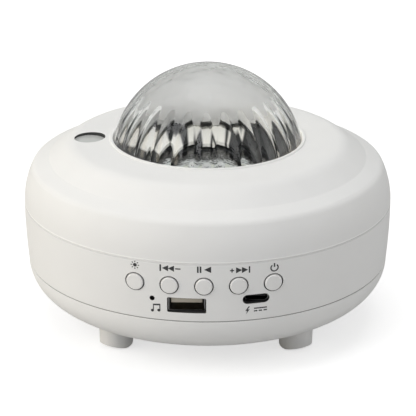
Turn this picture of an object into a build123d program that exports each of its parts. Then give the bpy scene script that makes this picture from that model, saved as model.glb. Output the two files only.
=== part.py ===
from build123d import *
import os
from math import cos, pi, radians, sin, sqrt, tan

os.makedirs("parts", exist_ok=True)

# Overall form, from the table up
body_radius = 70.0  # widest, at the seam under the top cover
floor_gap = 9.1  # underside of the base over the table
base_height = 15.9
base_edge_inset = 1.1  # the drum draws in this much from the cover seam to the base seam
base_curve_width = 19.7  # breadth of the base's rounded edge
band_height = 22.8
cover_height = 23.4
wall = 2.4
overrun = 1.0  # how far a cut runs past what it cuts

# Top cover, drops from the plate and insets from the body radius
shoulder_inset = 3.6
shoulder_drop = 9.2
shoulder_fillet = 3.5
step_inset = 9.6
step_drop = 6.7
step_fillet = 0.8
plate_edge_inset = 17.8
plate_edge_drop = 0.7
plate_fillet = 9.0
rim_width = 1.4
rim_rise = 0.5
rim_fillet = 0.4
seam_chamfer = 0.35

# Tongue lips at the two seams
lip_depth = 2.5
lip_thickness = 1.4
lip_clearance = 0.6

# Dome lens
dome_radius = 36.5
dome_sink = 8.2  # sphere centre under the top plate
dome_wall = 3.0  # at the foot
dome_crown_wall = 1.2
dome_gap = 0.4
flange_width = 4.0
flange_thickness = 2.5
flute_count = 24
flute_radius = 8.5
flute_depth = 1.3
flute_arc = 75.0  # degrees

# Feet and case screws
foot_circle = 47.7
foot_count = 4
foot_radius = 6.5
foot_taper = 0.3
foot_edge = 1.5
foot_land = 1.0  # the flat of the sole ends this far inside the foot's middle
foot_bevel = 14.0  # degrees, how steeply the sole then rises outwards
foot_sink = 2.1  # how far a foot goes up into the base
foot_clearance = 0.15
foot_boss_wall = 2.3
foot_boss_rise = 2.8  # boss top over the foot's seat
case_head_radius = 2.9
case_head_height = 2.4
case_head_depth = 5.0  # head seat over the table
case_shank_radius = 1.5
case_shank_length = 26.0
screw_clearance = 0.2
pilot_clearance = 0.05
post_radius = 4.2

# Front controls: places are counted in button pitches from the centre, and drops from the button row
button_pitch = 12.35
button_height = 14.2  # button row over the base seam
button_radius = 3.05
button_gap = 0.4
button_rise = 0.8
button_edge = 0.5
button_flange = 1.15
button_flange_thickness = 1.2
button_flange_gap = 0.6
button_stem_radius = 1.9
button_names = ("light", "previous", "play", "next", "power")
usb_a_pitch_share = -0.5
usb_c_pitch_share = 1.5
mic_pitch_share = -1.5
usb_a_drop = 7.7
usb_c_drop = 5.7
mic_drop = 5.7
mic_hole_radius = 0.9
usb_a_cutout = (13.9, 5.8)
usb_a_corner = 0.5
usb_c_cutout = (9.5, 3.5)

# Control board behind the front wall
board_setback = 17.0
board_width = 67.0
board_drop = 11.2
board_top_gap = 0.6  # under the chassis screws' heads
board_thickness = 1.6
board_corner = 1.5
board_boss_spread = 30.3
board_boss_drop = 7.2
board_boss_radius = 2.7
board_head_radius = 1.9
board_head_height = 1.3
board_shank_radius = 1.0
board_shank_length = 5.0
switch_width = 6.0
switch_height = 3.5
plunger_radius = 1.75
plunger_rise = 1.5
plunger_depth = 1.5
plunger_gap = 0.1
plunger_travel_room = 1.0
usb_recess = 0.6  # socket mouths lie this far inside the drum's face
usb_a_shell_size = (13.1, 5.4)
usb_c_shell_size = (8.94, 3.16)
socket_wall = 0.3
socket_fit = 0.05
tongue_setback = 0.8
usb_a_tongue_size = (11.1, 1.85)
usb_a_tongue_reach = 9.2
usb_a_tongue_lift = 1.0
usb_a_contact_size = (1.0, 7.0, 0.25)
usb_a_contact_pitch = 2.4
usb_a_contact_count = 4
usb_c_tongue_size = (6.7, 0.7)
usb_c_tongue_reach = 5.6
mic_radius = 2.05
mic_length = 2.2
mic_boot_radius = 2.75
mic_gap = 0.3
chip_size = (9.0, 9.0, 1.4)
chip_pitch_share = 0.9
chip_drop = 0.7
capacitor_radius = 3.2
capacitor_length = 8.0
capacitor_pitch_share = -1.15
capacitor_drop = 0.7
lead_socket_size = (5.0, 4.5, 4.0)
lead_socket_drop = 8.2
lead_socket_pitch_shares = (-1.6, -0.55, 0.55, 1.6)
lead_socket_names = ("laser", "motor", "lamp", "speaker")

# Chassis and the stack that stands on it
chassis_edge_gap = 8.0  # inside the drum's widest
chassis_drop = 15.0  # chassis top under the dome's foot
chassis_thickness = 2.5
chassis_rim_width = 2.0
chassis_rim_rise = 2.0
chassis_boss_circle = 48.0
chassis_boss_radius = 3.0
chassis_boss_angle = 67.5
chassis_boss_count = 4
chassis_head_radius = 2.6
chassis_head_height = 1.4
chassis_shank_radius = 1.3
chassis_shank_length = 11.0
post_clearance = 0.5
heat_plate_radius = 22.3
heat_plate_thickness = 3.0
fin_radius = 17.4
fin_clearance = 0.8
fin_count = 7
fin_thickness = 1.2
fin_pitch = 4.4
fin_depth = 11.0
lamp_board_radius = 21.9
lamp_board_thickness = 1.6
lamp_screw_circle = 19.8
lamp_screw_count = 3
lamp_head_radius = 1.8
lamp_head_height = 1.2
lamp_shank_radius = 1.0
lamp_shank_length = 6.6
lamp_count = 6
lamp_circle = 11.5
lamp_size = 5.0
lamp_height = 1.8
lamp_cap_radius = 2.0

# Rotating ripple lens
rotor_gap = 1.1
lens_shaft_radius = 2.0
lens_collar_radius = 3.4
running_clearance = 0.05
press_clearance = 0.02
thrust_clearance = 0.1
lens_hub_radius = 4.6
lens_hub_drop = 0.8
lens_thickness = 2.0
lens_seat_width = 1.5
lens_seat_thickness = 1.2
lens_fit = 0.1
lens_rim_width = 2.5
clip_radius = 3.8
clip_thickness = 0.8
shaft_nose = 0.3

# Gears
gear_module = 0.8
pinion_teeth = 10
grating_teeth = 20
gear_thickness = 3.0
addendum_share = 0.85
dedendum_share = 1.2
backlash_share = 0.24
pressure_angle = 25.0

# Star laser
laser_reach = 8.3  # laser's middle outside the dome
laser_radius = 3.25
laser_length = 18.0
laser_sleeve_wall = 1.5
laser_sleeve_drop = 6.0
laser_shoulder = 1.8
laser_stop_thickness = 2.4
beam_radius = 2.2
grating_radius = 5.8
grating_thickness = 0.6
grating_fit = 0.1
grating_gap = 0.3
window_bore = 5.9
window_radius = 6.7
window_thickness = 1.8
window_recess = 0.8
window_fit = 0.15
window_boss_wall = 2.6
window_edge = 0.5

# Gear motor
gearbox_size = (10.0, 12.0, 9.0)
motor_can_radius = 6.0
motor_can_length = 15.0
motor_shaft_radius = 1.5
motor_shaft_depth = 3.0
motor_shaft_rise = 0.5
pinion_hub_radius = 2.9
pinion_hub_drop = 2.0
motor_hole_radius = 3.0
motor_screw_spread = 4.5
motor_head_radius = 1.4
motor_head_height = 0.9
motor_shank_radius = 0.8
motor_shank_length = 4.5

# Light shroud under the dome
shroud_thickness = 2.4
shroud_ear_reach = 4.1  # ear screws outside the dome's flange
shroud_ear_radius = 3.4
shroud_ear_angle = 22.5
shroud_ear_count = 4
shroud_aperture = 21.6
shroud_dip = 1.8
shroud_skin = 1.4
shroud_head_radius = 1.9
shroud_head_height = 1.2
shroud_shank_radius = 1.0
shroud_shank_length = 6.6

# Speaker in the base
speaker_radius = 22.5
speaker_rise = 2.0  # flange over the base's floor
speaker_flange_thickness = 0.9
speaker_mouth = 19.5
speaker_ear_circle = 24.6
speaker_ear_radius = 3.0
speaker_ear_count = 4
basket_top_radius = 11.5
basket_height = 7.4
basket_skin = 0.8
basket_window_width = 9.0
basket_window_margin = 1.5
magnet_radius = 12.5
magnet_height = 7.0
coil_radius = 6.5
coil_thickness = 0.6
coil_gap = 0.6
coil_length = 3.6
cone_radius = 16.4
cone_height = 4.6
cone_thickness = 0.6
cone_lift = 0.3
dust_cap_dip = 1.4
roll_radius = 18.0
roll_reach = 1.2
roll_thickness = 0.4
surround_rim = 21.0
surround_thickness = 0.4
slot_count = 14
slot_width = 2.2
slot_inner = 8.0
slot_outer = 17.5
speaker_head_radius = 2.2
speaker_head_height = 1.3
speaker_shank_radius = 1.1
speaker_shank_length = 3.4

# Leads, chosen by hand from the board to what they feed
lead_radius = 0.7
lead_bend_share = 0.42  # of the shorter run beside a bend
lead_hole_radius = 1.6
lamp_lead_hole = 26.5
lead_run = 8.0  # straight out of its socket
laser_route = ((-28.0, -27.0, 27.0), (-40.0, -12.0, 24.0))
laser_lead_dip = 8.0
motor_route = ((-16.0, -25.0, 23.0), (-28.0, -11.0, 15.5))
motor_lead_dip = 6.0
lamp_route = ((1.5, -29.0, 36.0),)
speaker_route = ((15.0, -28.0, 27.0),)
speaker_lead_angle = -60.0
speaker_lead_rise = 9.0

# Heights and radii that follow
base_seam_height = floor_gap + base_height
cover_seam_height = base_seam_height + band_height
plate_height = cover_seam_height + cover_height
base_edge_radius = body_radius - base_edge_inset
base_flat_radius = base_edge_radius - base_curve_width
base_floor_height = floor_gap + wall
dome_centre_height = plate_height - dome_sink
flange_radius = dome_radius + flange_width
flange_top = dome_centre_height + flange_thickness
shroud_ear_circle = flange_radius + shroud_ear_reach
opening_top = plate_height + rim_rise
opening_top_radius = sqrt(dome_radius**2 - (dome_sink + rim_rise) ** 2) + dome_gap
rim_radius = opening_top_radius + rim_width
opening_low_radius = sqrt(dome_radius**2 - flange_thickness**2) + dome_gap
foot_seat_height = floor_gap + foot_sink
foot_boss_top = foot_seat_height + foot_boss_rise
row_height = base_seam_height + button_height
board_face = body_radius - board_setback
switch_face = board_face + switch_height
stem_face = switch_face + plunger_rise
chassis_top = dome_centre_height - chassis_drop
chassis_low = chassis_top - chassis_thickness
chassis_radius = body_radius - chassis_edge_gap
board_high = chassis_low - chassis_head_height - board_top_gap
board_low = row_height - board_drop
heat_top = chassis_top + heat_plate_thickness
lamp_board_top = heat_top + lamp_board_thickness
gear_low = lamp_board_top + lamp_height + rotor_gap
gear_top = gear_low + gear_thickness
lens_teeth = round(2 * (dome_radius + laser_reach) / gear_module) - 2 * pinion_teeth - grating_teeth
lens_pitch_radius = gear_module * lens_teeth / 2
pinion_pitch_radius = gear_module * pinion_teeth / 2
grating_pitch_radius = gear_module * grating_teeth / 2
pinion_offset = lens_pitch_radius + pinion_pitch_radius
laser_offset = pinion_offset + pinion_pitch_radius + grating_pitch_radius
window_top = plate_height - plate_edge_drop - window_recess
speaker_seat = base_floor_height + speaker_rise
speaker_flange_top = speaker_seat + speaker_flange_thickness
magnet_low = speaker_flange_top + basket_height
front_plane = Plane.XZ.offset(board_face)


def save(part, label):
    """Label a finished piece and write it under its own name."""
    part.label = label
    export_step(part, f"parts/{label}.step")


def draw_band_section(inset):
    """Half section of the drum between the seams, filled to the axis and drawn in by the inset."""
    side = TangentArc(
        (body_radius - inset, cover_seam_height),
        (base_edge_radius - inset, base_seam_height),
        tangent=(0, -1),
    )
    Polyline(side @ 1, (0, base_seam_height), (0, cover_seam_height), side @ 0)


def draw_base_section(inset):
    """Half section of the base, filled to the axis, with its floor and edge drawn in by the inset."""
    edge = EllipticalCenterArc(
        (base_flat_radius, base_seam_height),
        base_curve_width - inset,
        base_height - inset,
        start_angle=-90,
    )
    Polyline(edge @ 1, (0, base_seam_height), (0, floor_gap + inset), edge @ 0)


def draw_cover_line():
    """Outside of the top cover in half section, from the seam to the dome opening."""
    side = TangentArc(
        (body_radius, cover_seam_height),
        (body_radius - shoulder_inset, plate_height - shoulder_drop),
        tangent=(0, 1),
    )
    FilletPolyline(
        side @ 1,
        (body_radius - step_inset, plate_height - step_drop),
        (body_radius - plate_edge_inset, plate_height - plate_edge_drop),
        (rim_radius, plate_height),
        radius=(step_fillet, plate_fillet),
    )


def draw_lip(wall_radius, seam, way):
    """Section of a tongue lip: a shelf inside the wall, and the lip past the seam (way 1 up, -1 down)."""
    outer = wall_radius - lip_clearance
    inner = outer - lip_thickness
    shelf = seam - way * lip_depth
    Polyline(
        (inner, seam + way * lip_depth),
        (outer, seam + way * lip_depth),
        (outer, seam),
        (wall_radius + lip_clearance, seam),
        (wall_radius + lip_clearance, shelf),
        (inner, shelf),
        close=True,
    )


def screw_group(plane, places, head, shank):
    """Pan head screws on a plane: heads stand along its normal, shanks go the other way."""
    head_radius, head_height = head
    shank_radius, shank_length = shank
    with BuildPart() as group:
        with BuildSketch(plane):
            with Locations(*places):
                Circle(head_radius)
        extrude(amount=head_height)
        with BuildSketch(plane):
            with Locations(*places):
                Circle(shank_radius)
        extrude(amount=-shank_length)
    return group.part


def polar_points(circle, angles):
    """Points on a circle at the given angles in degrees."""
    return [(circle * cos(radians(a)), circle * sin(radians(a))) for a in angles]


def gear_points(teeth, phase_share):
    """Outline of a spur gear with straight flanks; the phase is counted in tooth pitches."""
    pitch_radius = gear_module * teeth / 2
    half_tooth = pi * gear_module / 4 * (1 - backlash_share)
    slope = tan(radians(pressure_angle))
    rise = addendum_share * gear_module
    fall = dedendum_share * gear_module
    root = (pitch_radius - fall, half_tooth + fall * slope)
    tip = (pitch_radius + rise, half_tooth - rise * slope)
    points = []
    for tooth in range(teeth):
        middle = 2 * pi * (tooth + phase_share) / teeth
        for (radius, half), way in ((root, -1), (tip, -1), (tip, 1), (root, 1)):
            angle = middle + way * min(half / radius, pi / teeth)
            points.append((radius * cos(angle), radius * sin(angle)))
    return points


# Top cover: shell, rim and collar round the dome, posts and bosses under the plate
post_points = polar_points(foot_circle, [180 / foot_count * (2 * i + 1) for i in range(foot_count)])
chassis_boss_angles = [chassis_boss_angle + 360 / chassis_boss_count * i for i in range(chassis_boss_count)]
chassis_boss_points = polar_points(chassis_boss_circle, chassis_boss_angles)
shroud_ear_angles = [shroud_ear_angle + 360 / shroud_ear_count * i for i in range(shroud_ear_count)]
shroud_ear_points = polar_points(shroud_ear_circle, shroud_ear_angles)
window_boss_radius = window_radius + window_fit + window_boss_wall
window_low = window_top - window_thickness

with BuildPart() as top_cover:
    with BuildSketch(Plane.XY.offset(foot_boss_top)):
        with Locations(*post_points):
            Circle(post_radius)
    extrude(amount=plate_height - foot_boss_top)
    with BuildSketch(Plane.XY.offset(chassis_top)):
        with Locations(*chassis_boss_points):
            Circle(chassis_boss_radius)
    extrude(amount=plate_height - chassis_top)
    with BuildSketch(Plane.XY.offset(dome_centre_height)):
        with Locations(*shroud_ear_points):
            Circle(shroud_ear_radius)
    extrude(amount=plate_height - dome_centre_height)
    with BuildSketch(Plane.XY.offset(window_low)):
        with Locations((-laser_offset, 0)):
            Circle(window_boss_radius)
    extrude(amount=plate_height - window_low)
    with BuildSketch(Plane.XZ):
        with BuildLine() as filled_cover:
            draw_cover_line()
            fillet(filled_cover.vertices().sort_by(Axis.Y)[1], shoulder_fillet)
            Polyline(
                (rim_radius, plate_height),
                (flange_radius, plate_height - wall),
                (flange_radius, floor_gap),
                (body_radius, floor_gap),
                (body_radius, cover_seam_height),
            )
        make_face()
    revolve(axis=Axis.Z, mode=Mode.INTERSECT)
    with BuildSketch(Plane.XZ) as cover_section:
        with BuildLine() as cover_band:
            draw_cover_line()
            fillet(cover_band.vertices().sort_by(Axis.Y)[1], shoulder_fillet)
            offset(amount=wall, side=Side.LEFT, closed=True)
        make_face()
        chamfer(cover_section.vertices().sort_by_distance((body_radius, cover_seam_height))[0], seam_chamfer)
        with BuildLine():
            FilletPolyline(
                (opening_low_radius, flange_top),
                (opening_top_radius, opening_top),
                (rim_radius, opening_top),
                (rim_radius, plate_height - wall),
                (flange_radius, plate_height - wall),
                (flange_radius, flange_top),
                radius=(rim_fillet, rim_fillet, 0, 0),
            )
            Line((flange_radius, flange_top), (opening_low_radius, flange_top))
        make_face()
    revolve(axis=Axis.Z)
    with BuildSketch(Plane.XY.offset(window_low)):
        with Locations((-laser_offset, 0)):
            Circle(window_radius + window_fit)
    extrude(amount=window_thickness, mode=Mode.SUBTRACT)
    with BuildSketch(Plane.XY.offset(window_low)):
        with Locations((-laser_offset, 0)):
            Circle(window_bore)
    extrude(amount=plate_height, mode=Mode.SUBTRACT)
    window_mouth = top_cover.edges().sort_by_distance((-laser_offset, 0, plate_height))[0]
    fillet(window_mouth, window_edge)
    with BuildSketch(Plane.XY.offset(foot_boss_top)):
        with Locations(*post_points):
            Circle(case_shank_radius + pilot_clearance)
    extrude(amount=case_shank_length, mode=Mode.SUBTRACT)
    with BuildSketch(Plane.XY.offset(chassis_top)):
        with Locations(*chassis_boss_points):
            Circle(chassis_shank_radius + pilot_clearance)
    extrude(amount=chassis_shank_length, mode=Mode.SUBTRACT)
    with BuildSketch(Plane.XY.offset(dome_centre_height)):
        with Locations(*shroud_ear_points):
            Circle(shroud_shank_radius + pilot_clearance)
    extrude(amount=shroud_shank_length - shroud_thickness + overrun / 2, mode=Mode.SUBTRACT)
save(top_cover.part, "top_cover")

# Star window: a clear disc glued up into its seat under the plate
with BuildPart() as star_window:
    with BuildSketch(Plane.XY.offset(window_low)):
        with Locations((-laser_offset, 0)):
            Circle(window_radius)
    extrude(amount=window_thickness)
save(star_window.part, "star_window")

# Dome lens: smooth outside, a wall that thins to the crown, and flutes inside that run out where it thins
dome_inner = dome_radius - dome_wall
with BuildPart() as flute:
    with BuildSketch(Plane.XY.offset(dome_centre_height)):
        with Locations((dome_inner + flute_depth - flute_radius, 0)):
            Circle(flute_radius)
    revolve(axis=Axis((0, 0, dome_centre_height), (0, 1, 0)), revolution_arc=-flute_arc)

with BuildPart() as dome_lens:
    with BuildSketch(Plane.XZ):
        with BuildLine():
            outside = CenterArc((0, dome_centre_height), dome_radius, 0, 90)
            Polyline(outside @ 1, (0, dome_centre_height), outside @ 0)
        make_face()
        with Locations((0, dome_centre_height)):
            Rectangle(flange_radius, flange_thickness, align=(Align.MIN, Align.MIN))
        with BuildLine():
            crown = (0, dome_centre_height + dome_radius - dome_crown_wall)
            inside = TangentArc(crown, (dome_inner, dome_centre_height), tangent=(1, 0))
            Polyline(inside @ 1, (0, dome_centre_height), inside @ 0)
        make_face(mode=Mode.SUBTRACT)
    revolve(axis=Axis.Z)
    with PolarLocations(0, flute_count):
        add(flute.part, mode=Mode.SUBTRACT)
save(dome_lens.part, "dome_lens")

# Light shroud: clamps the dome's flange up against the collar, and dips to the ripple lens
shroud_low = dome_centre_height - shroud_thickness
with BuildPart() as light_shroud:
    with BuildSketch(Plane.XZ):
        with BuildLine():
            Polyline(
                (flange_radius, dome_centre_height),
                (dome_inner, dome_centre_height),
                (shroud_aperture, dome_centre_height - shroud_dip),
                (shroud_aperture, dome_centre_height - shroud_dip - shroud_skin),
                (dome_inner, shroud_low),
                (flange_radius, shroud_low),
                close=True,
            )
        make_face()
    revolve(axis=Axis.Z)
    for angle, point in zip(shroud_ear_angles, shroud_ear_points):
        with BuildSketch(Plane.XY.offset(shroud_low)):
            with Locations(point):
                Circle(shroud_ear_radius)
            with Locations(Location((0, 0, 0), (0, 0, angle))):
                with Locations((dome_inner + shroud_ear_radius, 0)):
                    Rectangle(
                        shroud_ear_circle - dome_inner - shroud_ear_radius,
                        2 * shroud_ear_radius,
                        align=(Align.MIN, Align.CENTER),
                    )
        extrude(amount=shroud_thickness)
    with BuildSketch(Plane.XY.offset(shroud_low)):
        with Locations(*shroud_ear_points):
            Circle(shroud_shank_radius + screw_clearance)
    extrude(amount=shroud_thickness, mode=Mode.SUBTRACT)
save(light_shroud.part, "light_shroud")

shroud_screws = screw_group(
    Plane.XY.offset(shroud_low).rotated((180, 0, 0)),
    [(x, -y) for x, y in shroud_ear_points],
    (shroud_head_radius, shroud_head_height),
    (shroud_shank_radius, shroud_shank_length),
)
save(shroud_screws, "shroud_screws")

# Middle shell: the control band, with tongue lips at both seams and the board's bosses
button_offsets = [(i - len(button_names) // 2) * button_pitch for i in range(len(button_names))]
button_points = [(x, row_height) for x in button_offsets]
board_boss_points = [(way * board_boss_spread, row_height - board_boss_drop) for way in (-1, 1)]
usb_a_point = (usb_a_pitch_share * button_pitch, row_height - usb_a_drop)
usb_c_point = (usb_c_pitch_share * button_pitch, row_height - usb_c_drop)
mic_point = (mic_pitch_share * button_pitch, row_height - mic_drop)

with BuildPart() as middle_shell:
    with BuildSketch(front_plane):
        with Locations(*board_boss_points):
            Circle(board_boss_radius)
    extrude(amount=board_setback)
    with BuildSketch(Plane.XZ):
        with BuildLine():
            draw_band_section(0)
        make_face()
    revolve(axis=Axis.Z, mode=Mode.INTERSECT)
    with BuildSketch(Plane.XZ) as band_section:
        with BuildLine():
            draw_band_section(0)
        make_face()
        with BuildLine():
            draw_band_section(wall)
        make_face(mode=Mode.SUBTRACT)
        outer_corners = band_section.vertices().group_by(Axis.X)[-1]
        outer_corners += band_section.vertices().filter_by_position(
            Axis.X, base_edge_radius - lip_clearance / 2, base_edge_radius + lip_clearance / 2
        )
        chamfer(outer_corners, seam_chamfer)
        with BuildLine():
            draw_lip(body_radius - wall, cover_seam_height, 1)
        make_face()
        with BuildLine():
            draw_lip(base_edge_radius - wall, base_seam_height, -1)
        make_face()
    revolve(axis=Axis.Z)
    with BuildSketch(front_plane):
        with Locations(*button_points):
            Circle(button_radius + button_gap)
        with Locations(usb_a_point):
            RectangleRounded(*usb_a_cutout, usb_a_corner)
        with Locations(usb_c_point):
            SlotOverall(*usb_c_cutout)
        with Locations(mic_point):
            Circle(mic_hole_radius)
    extrude(amount=board_setback + overrun, mode=Mode.SUBTRACT)
    with BuildSketch(front_plane):
        with Locations(*board_boss_points):
            Circle(board_shank_radius + pilot_clearance)
    extrude(amount=board_shank_length - board_thickness, mode=Mode.SUBTRACT)
save(middle_shell.part, "middle_shell")

# Buttons: caps that stand a little proud of the band, flanges behind its wall, stems to the plungers
for name, offset_x in zip(button_names, button_offsets):
    flange_inset = wall + button_flange_gap
    flange_back = flange_inset + button_flange_thickness
    with BuildPart() as button_flange_ring:
        with BuildSketch(Plane.XZ.offset(stem_face)):
            with Locations((offset_x, row_height)):
                Circle(button_radius + button_flange)
        extrude(amount=board_setback)
        with BuildSketch(Plane.XZ):
            with BuildLine():
                draw_band_section(flange_inset)
            make_face()
        revolve(axis=Axis.Z, mode=Mode.INTERSECT)
        with BuildSketch(Plane.XZ):
            with BuildLine():
                draw_band_section(flange_back)
            make_face()
        revolve(axis=Axis.Z, mode=Mode.SUBTRACT)
    with BuildPart() as button:
        with BuildSketch(Plane.XZ.offset(stem_face)):
            with Locations((offset_x, row_height)):
                Circle(button_radius)
        extrude(amount=board_setback)
        with BuildSketch(Plane.XZ):
            with BuildLine():
                draw_band_section(flange_back)
            make_face()
        revolve(axis=Axis.Z, mode=Mode.SUBTRACT)
        with BuildSketch(Plane.XZ):
            with BuildLine():
                draw_band_section(-button_rise)
            make_face()
        revolve(axis=Axis.Z, mode=Mode.INTERSECT)
        fillet(button.faces().sort_by(Axis.Y)[0].edges(), button_edge)
        with BuildSketch(Plane.XZ.offset(stem_face)):
            with Locations((offset_x, row_height)):
                Circle(button_stem_radius)
        extrude(until=Until.NEXT)
        add(button_flange_ring.part)
    save(button.part, f"button_{name}")

# Plungers of the switches, one under each button
for name, point in zip(button_names, button_points):
    with BuildPart() as plunger:
        with BuildSketch(Plane.XZ.offset(switch_face - plunger_depth)):
            with Locations(point):
                Circle(plunger_radius)
        extrude(amount=plunger_depth + plunger_rise)
    save(plunger.part, f"plunger_{name}")

# Base: rounded pan with foot seats, speaker bosses and sound slots
speaker_ear_angles = [180 / speaker_ear_count * (2 * i + 1) for i in range(speaker_ear_count)]
speaker_ear_points = polar_points(speaker_ear_circle, speaker_ear_angles)

with BuildPart() as base:
    with BuildSketch(Plane.XY.offset(floor_gap)):
        with Locations(*post_points):
            Circle(foot_radius + foot_clearance + foot_boss_wall)
    extrude(amount=foot_boss_top - floor_gap)
    with BuildSketch(Plane.XZ):
        with BuildLine():
            draw_base_section(0)
        make_face()
    revolve(axis=Axis.Z, mode=Mode.INTERSECT)
    with BuildSketch(Plane.XZ):
        with BuildLine():
            draw_base_section(0)
        make_face()
        with BuildLine():
            draw_base_section(wall)
        make_face(mode=Mode.SUBTRACT)
    revolve(axis=Axis.Z)
    seam_edges = base.edges().filter_by(GeomType.CIRCLE).group_by(Axis.Z)[-1]
    chamfer(seam_edges.sort_by(SortBy.RADIUS)[-1], seam_chamfer)
    with BuildSketch(Plane.XY.offset(base_floor_height)):
        with Locations(*speaker_ear_points):
            Circle(speaker_ear_radius)
    extrude(amount=speaker_rise)
    with BuildSketch(Plane.XY):
        with Locations(*post_points):
            Circle(foot_radius + foot_clearance)
    extrude(amount=foot_seat_height, mode=Mode.SUBTRACT)
    with BuildSketch(Plane.XY):
        with Locations(*post_points):
            Circle(case_shank_radius + screw_clearance)
        with PolarLocations((slot_inner + slot_outer) / 2, slot_count):
            SlotOverall(slot_outer - slot_inner, slot_width)
    extrude(amount=foot_boss_top, mode=Mode.SUBTRACT)
    with BuildSketch(Plane.XY.offset(speaker_seat)):
        with Locations(*speaker_ear_points):
            Circle(speaker_shank_radius + pilot_clearance)
    extrude(amount=speaker_flange_thickness - speaker_shank_length, mode=Mode.SUBTRACT)
save(base.part, "base")

# Feet: tapered studs, each held by a case screw up its middle
foot_names = ("rear_right", "rear_left", "front_left", "front_right")
head_hole = case_head_radius + 2 * screw_clearance
shank_hole = case_shank_radius + screw_clearance
sole_end = foot_circle + foot_radius + overrun
for name, (x, y) in zip(foot_names, post_points):
    with BuildPart() as foot:
        with BuildSketch(Plane.XZ.offset(-y)):
            with BuildLine():
                FilletPolyline(
                    (x + head_hole, 0),
                    (x + foot_radius - foot_taper, 0),
                    (x + foot_radius, foot_seat_height),
                    radius=foot_edge,
                )
                Polyline(
                    (x + foot_radius, foot_seat_height),
                    (x + shank_hole, foot_seat_height),
                    (x + shank_hole, case_head_depth),
                    (x + head_hole, case_head_depth),
                    (x + head_hole, 0),
                )
            make_face()
        revolve(axis=Axis((x, y, 0), (0, 0, 1)))
        with BuildSketch(Plane.XZ):
            with BuildLine():
                Polyline(
                    (foot_circle - foot_land, 0),
                    (sole_end, 0),
                    (sole_end, (sole_end - foot_circle + foot_land) * tan(radians(foot_bevel))),
                    close=True,
                )
            make_face()
        revolve(axis=Axis.Z, mode=Mode.SUBTRACT)
    save(foot.part, f"foot_{name}")

case_screws = screw_group(
    Plane.XY.offset(case_head_depth).rotated((180, 0, 0)),
    [(x, -y) for x, y in post_points],
    (case_head_radius, case_head_height),
    (case_shank_radius, case_shank_length),
)
save(case_screws, "case_screws")

# Control board with its switches, sockets, chip and capacitor
board_back = board_face - board_thickness
with BuildPart() as control_board:
    with BuildSketch(Plane.XZ.offset(board_back)):
        with Locations((0, (board_low + board_high) / 2)):
            RectangleRounded(board_width, board_high - board_low, board_corner)
        with Locations(*board_boss_points):
            Circle(board_shank_radius + screw_clearance, mode=Mode.SUBTRACT)
    extrude(amount=board_thickness)
save(control_board.part, "control_board")

board_screws = screw_group(
    Plane(origin=(0, -board_back, 0), x_dir=(-1, 0, 0), z_dir=(0, 1, 0)),
    board_boss_points,
    (board_head_radius, board_head_height),
    (board_shank_radius, board_shank_length),
)
save(board_screws, "board_screws")

with BuildPart() as switch_bodies:
    with BuildSketch(front_plane):
        with Locations(*button_points):
            Rectangle(switch_width, switch_width)
    extrude(amount=switch_height)
    with BuildSketch(Plane.XZ.offset(switch_face)):
        with Locations(*button_points):
            Circle(plunger_radius + plunger_gap)
    extrude(amount=-plunger_depth - plunger_travel_room, mode=Mode.SUBTRACT)
save(switch_bodies.part, "switch_bodies")

with BuildPart() as board_components:
    with BuildSketch(Plane.XZ.offset(board_back)):
        with Locations((chip_pitch_share * button_pitch, row_height - chip_drop)):
            Rectangle(chip_size[0], chip_size[1])
    extrude(amount=-chip_size[2])
    with BuildSketch(Plane.XZ.offset(board_back)):
        with Locations((capacitor_pitch_share * button_pitch, row_height - capacitor_drop)):
            Circle(capacitor_radius)
    extrude(amount=-capacitor_length)
save(board_components.part, "board_components")

lead_socket_height = row_height - lead_socket_drop
lead_socket_points = [(share * button_pitch, lead_socket_height) for share in lead_socket_pitch_shares]
with BuildPart() as lead_sockets:
    with BuildSketch(Plane.XZ.offset(board_back)):
        with Locations(*lead_socket_points):
            Rectangle(lead_socket_size[0], lead_socket_size[1])
    extrude(amount=-lead_socket_size[2])
save(lead_sockets.part, "lead_sockets")


def mouth_face(point, width):
    """How far out a socket's mouth lies: inside the drum's face at the socket's far corner."""
    return sqrt(base_edge_radius**2 - (abs(point[0]) + width / 2) ** 2) - usb_recess


# USB-A socket: steel shell, tongue block, contacts under the tongue
usb_a_mouth = mouth_face(usb_a_point, usb_a_shell_size[0])
usb_a_inner = (usb_a_shell_size[0] - 2 * socket_wall, usb_a_shell_size[1] - 2 * socket_wall)
usb_a_block_face = usb_a_mouth - usb_a_tongue_reach - tongue_setback
with BuildPart() as usb_a_shell:
    with BuildSketch(front_plane):
        with Locations(usb_a_point):
            RectangleRounded(*usb_a_shell_size, usb_a_corner)
            Rectangle(*usb_a_inner, mode=Mode.SUBTRACT)
    extrude(amount=usb_a_mouth - board_face)
save(usb_a_shell.part, "usb_a_shell")

usb_a_tongue_point = (usb_a_point[0], usb_a_point[1] + usb_a_tongue_lift)
with BuildPart() as usb_a_tongue:
    with BuildSketch(front_plane):
        with Locations(usb_a_point):
            Rectangle(usb_a_inner[0] - 2 * socket_fit, usb_a_inner[1] - 2 * socket_fit)
    extrude(amount=usb_a_block_face - board_face)
    with BuildSketch(Plane.XZ.offset(usb_a_block_face)):
        with Locations(usb_a_tongue_point):
            Rectangle(*usb_a_tongue_size)
    extrude(amount=usb_a_tongue_reach)
save(usb_a_tongue.part, "usb_a_tongue")

contact_width, contact_length, contact_thickness = usb_a_contact_size
contact_drop = usb_a_tongue_size[1] / 2 + contact_thickness / 2
with BuildPart() as usb_a_contacts:
    with BuildSketch(Plane.XZ.offset(usb_a_block_face)):
        with Locations((usb_a_tongue_point[0], usb_a_tongue_point[1] - contact_drop)):
            with GridLocations(usb_a_contact_pitch, 0, usb_a_contact_count, 1):
                Rectangle(contact_width, contact_thickness)
    extrude(amount=contact_length)
save(usb_a_contacts.part, "usb_a_contacts")

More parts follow.
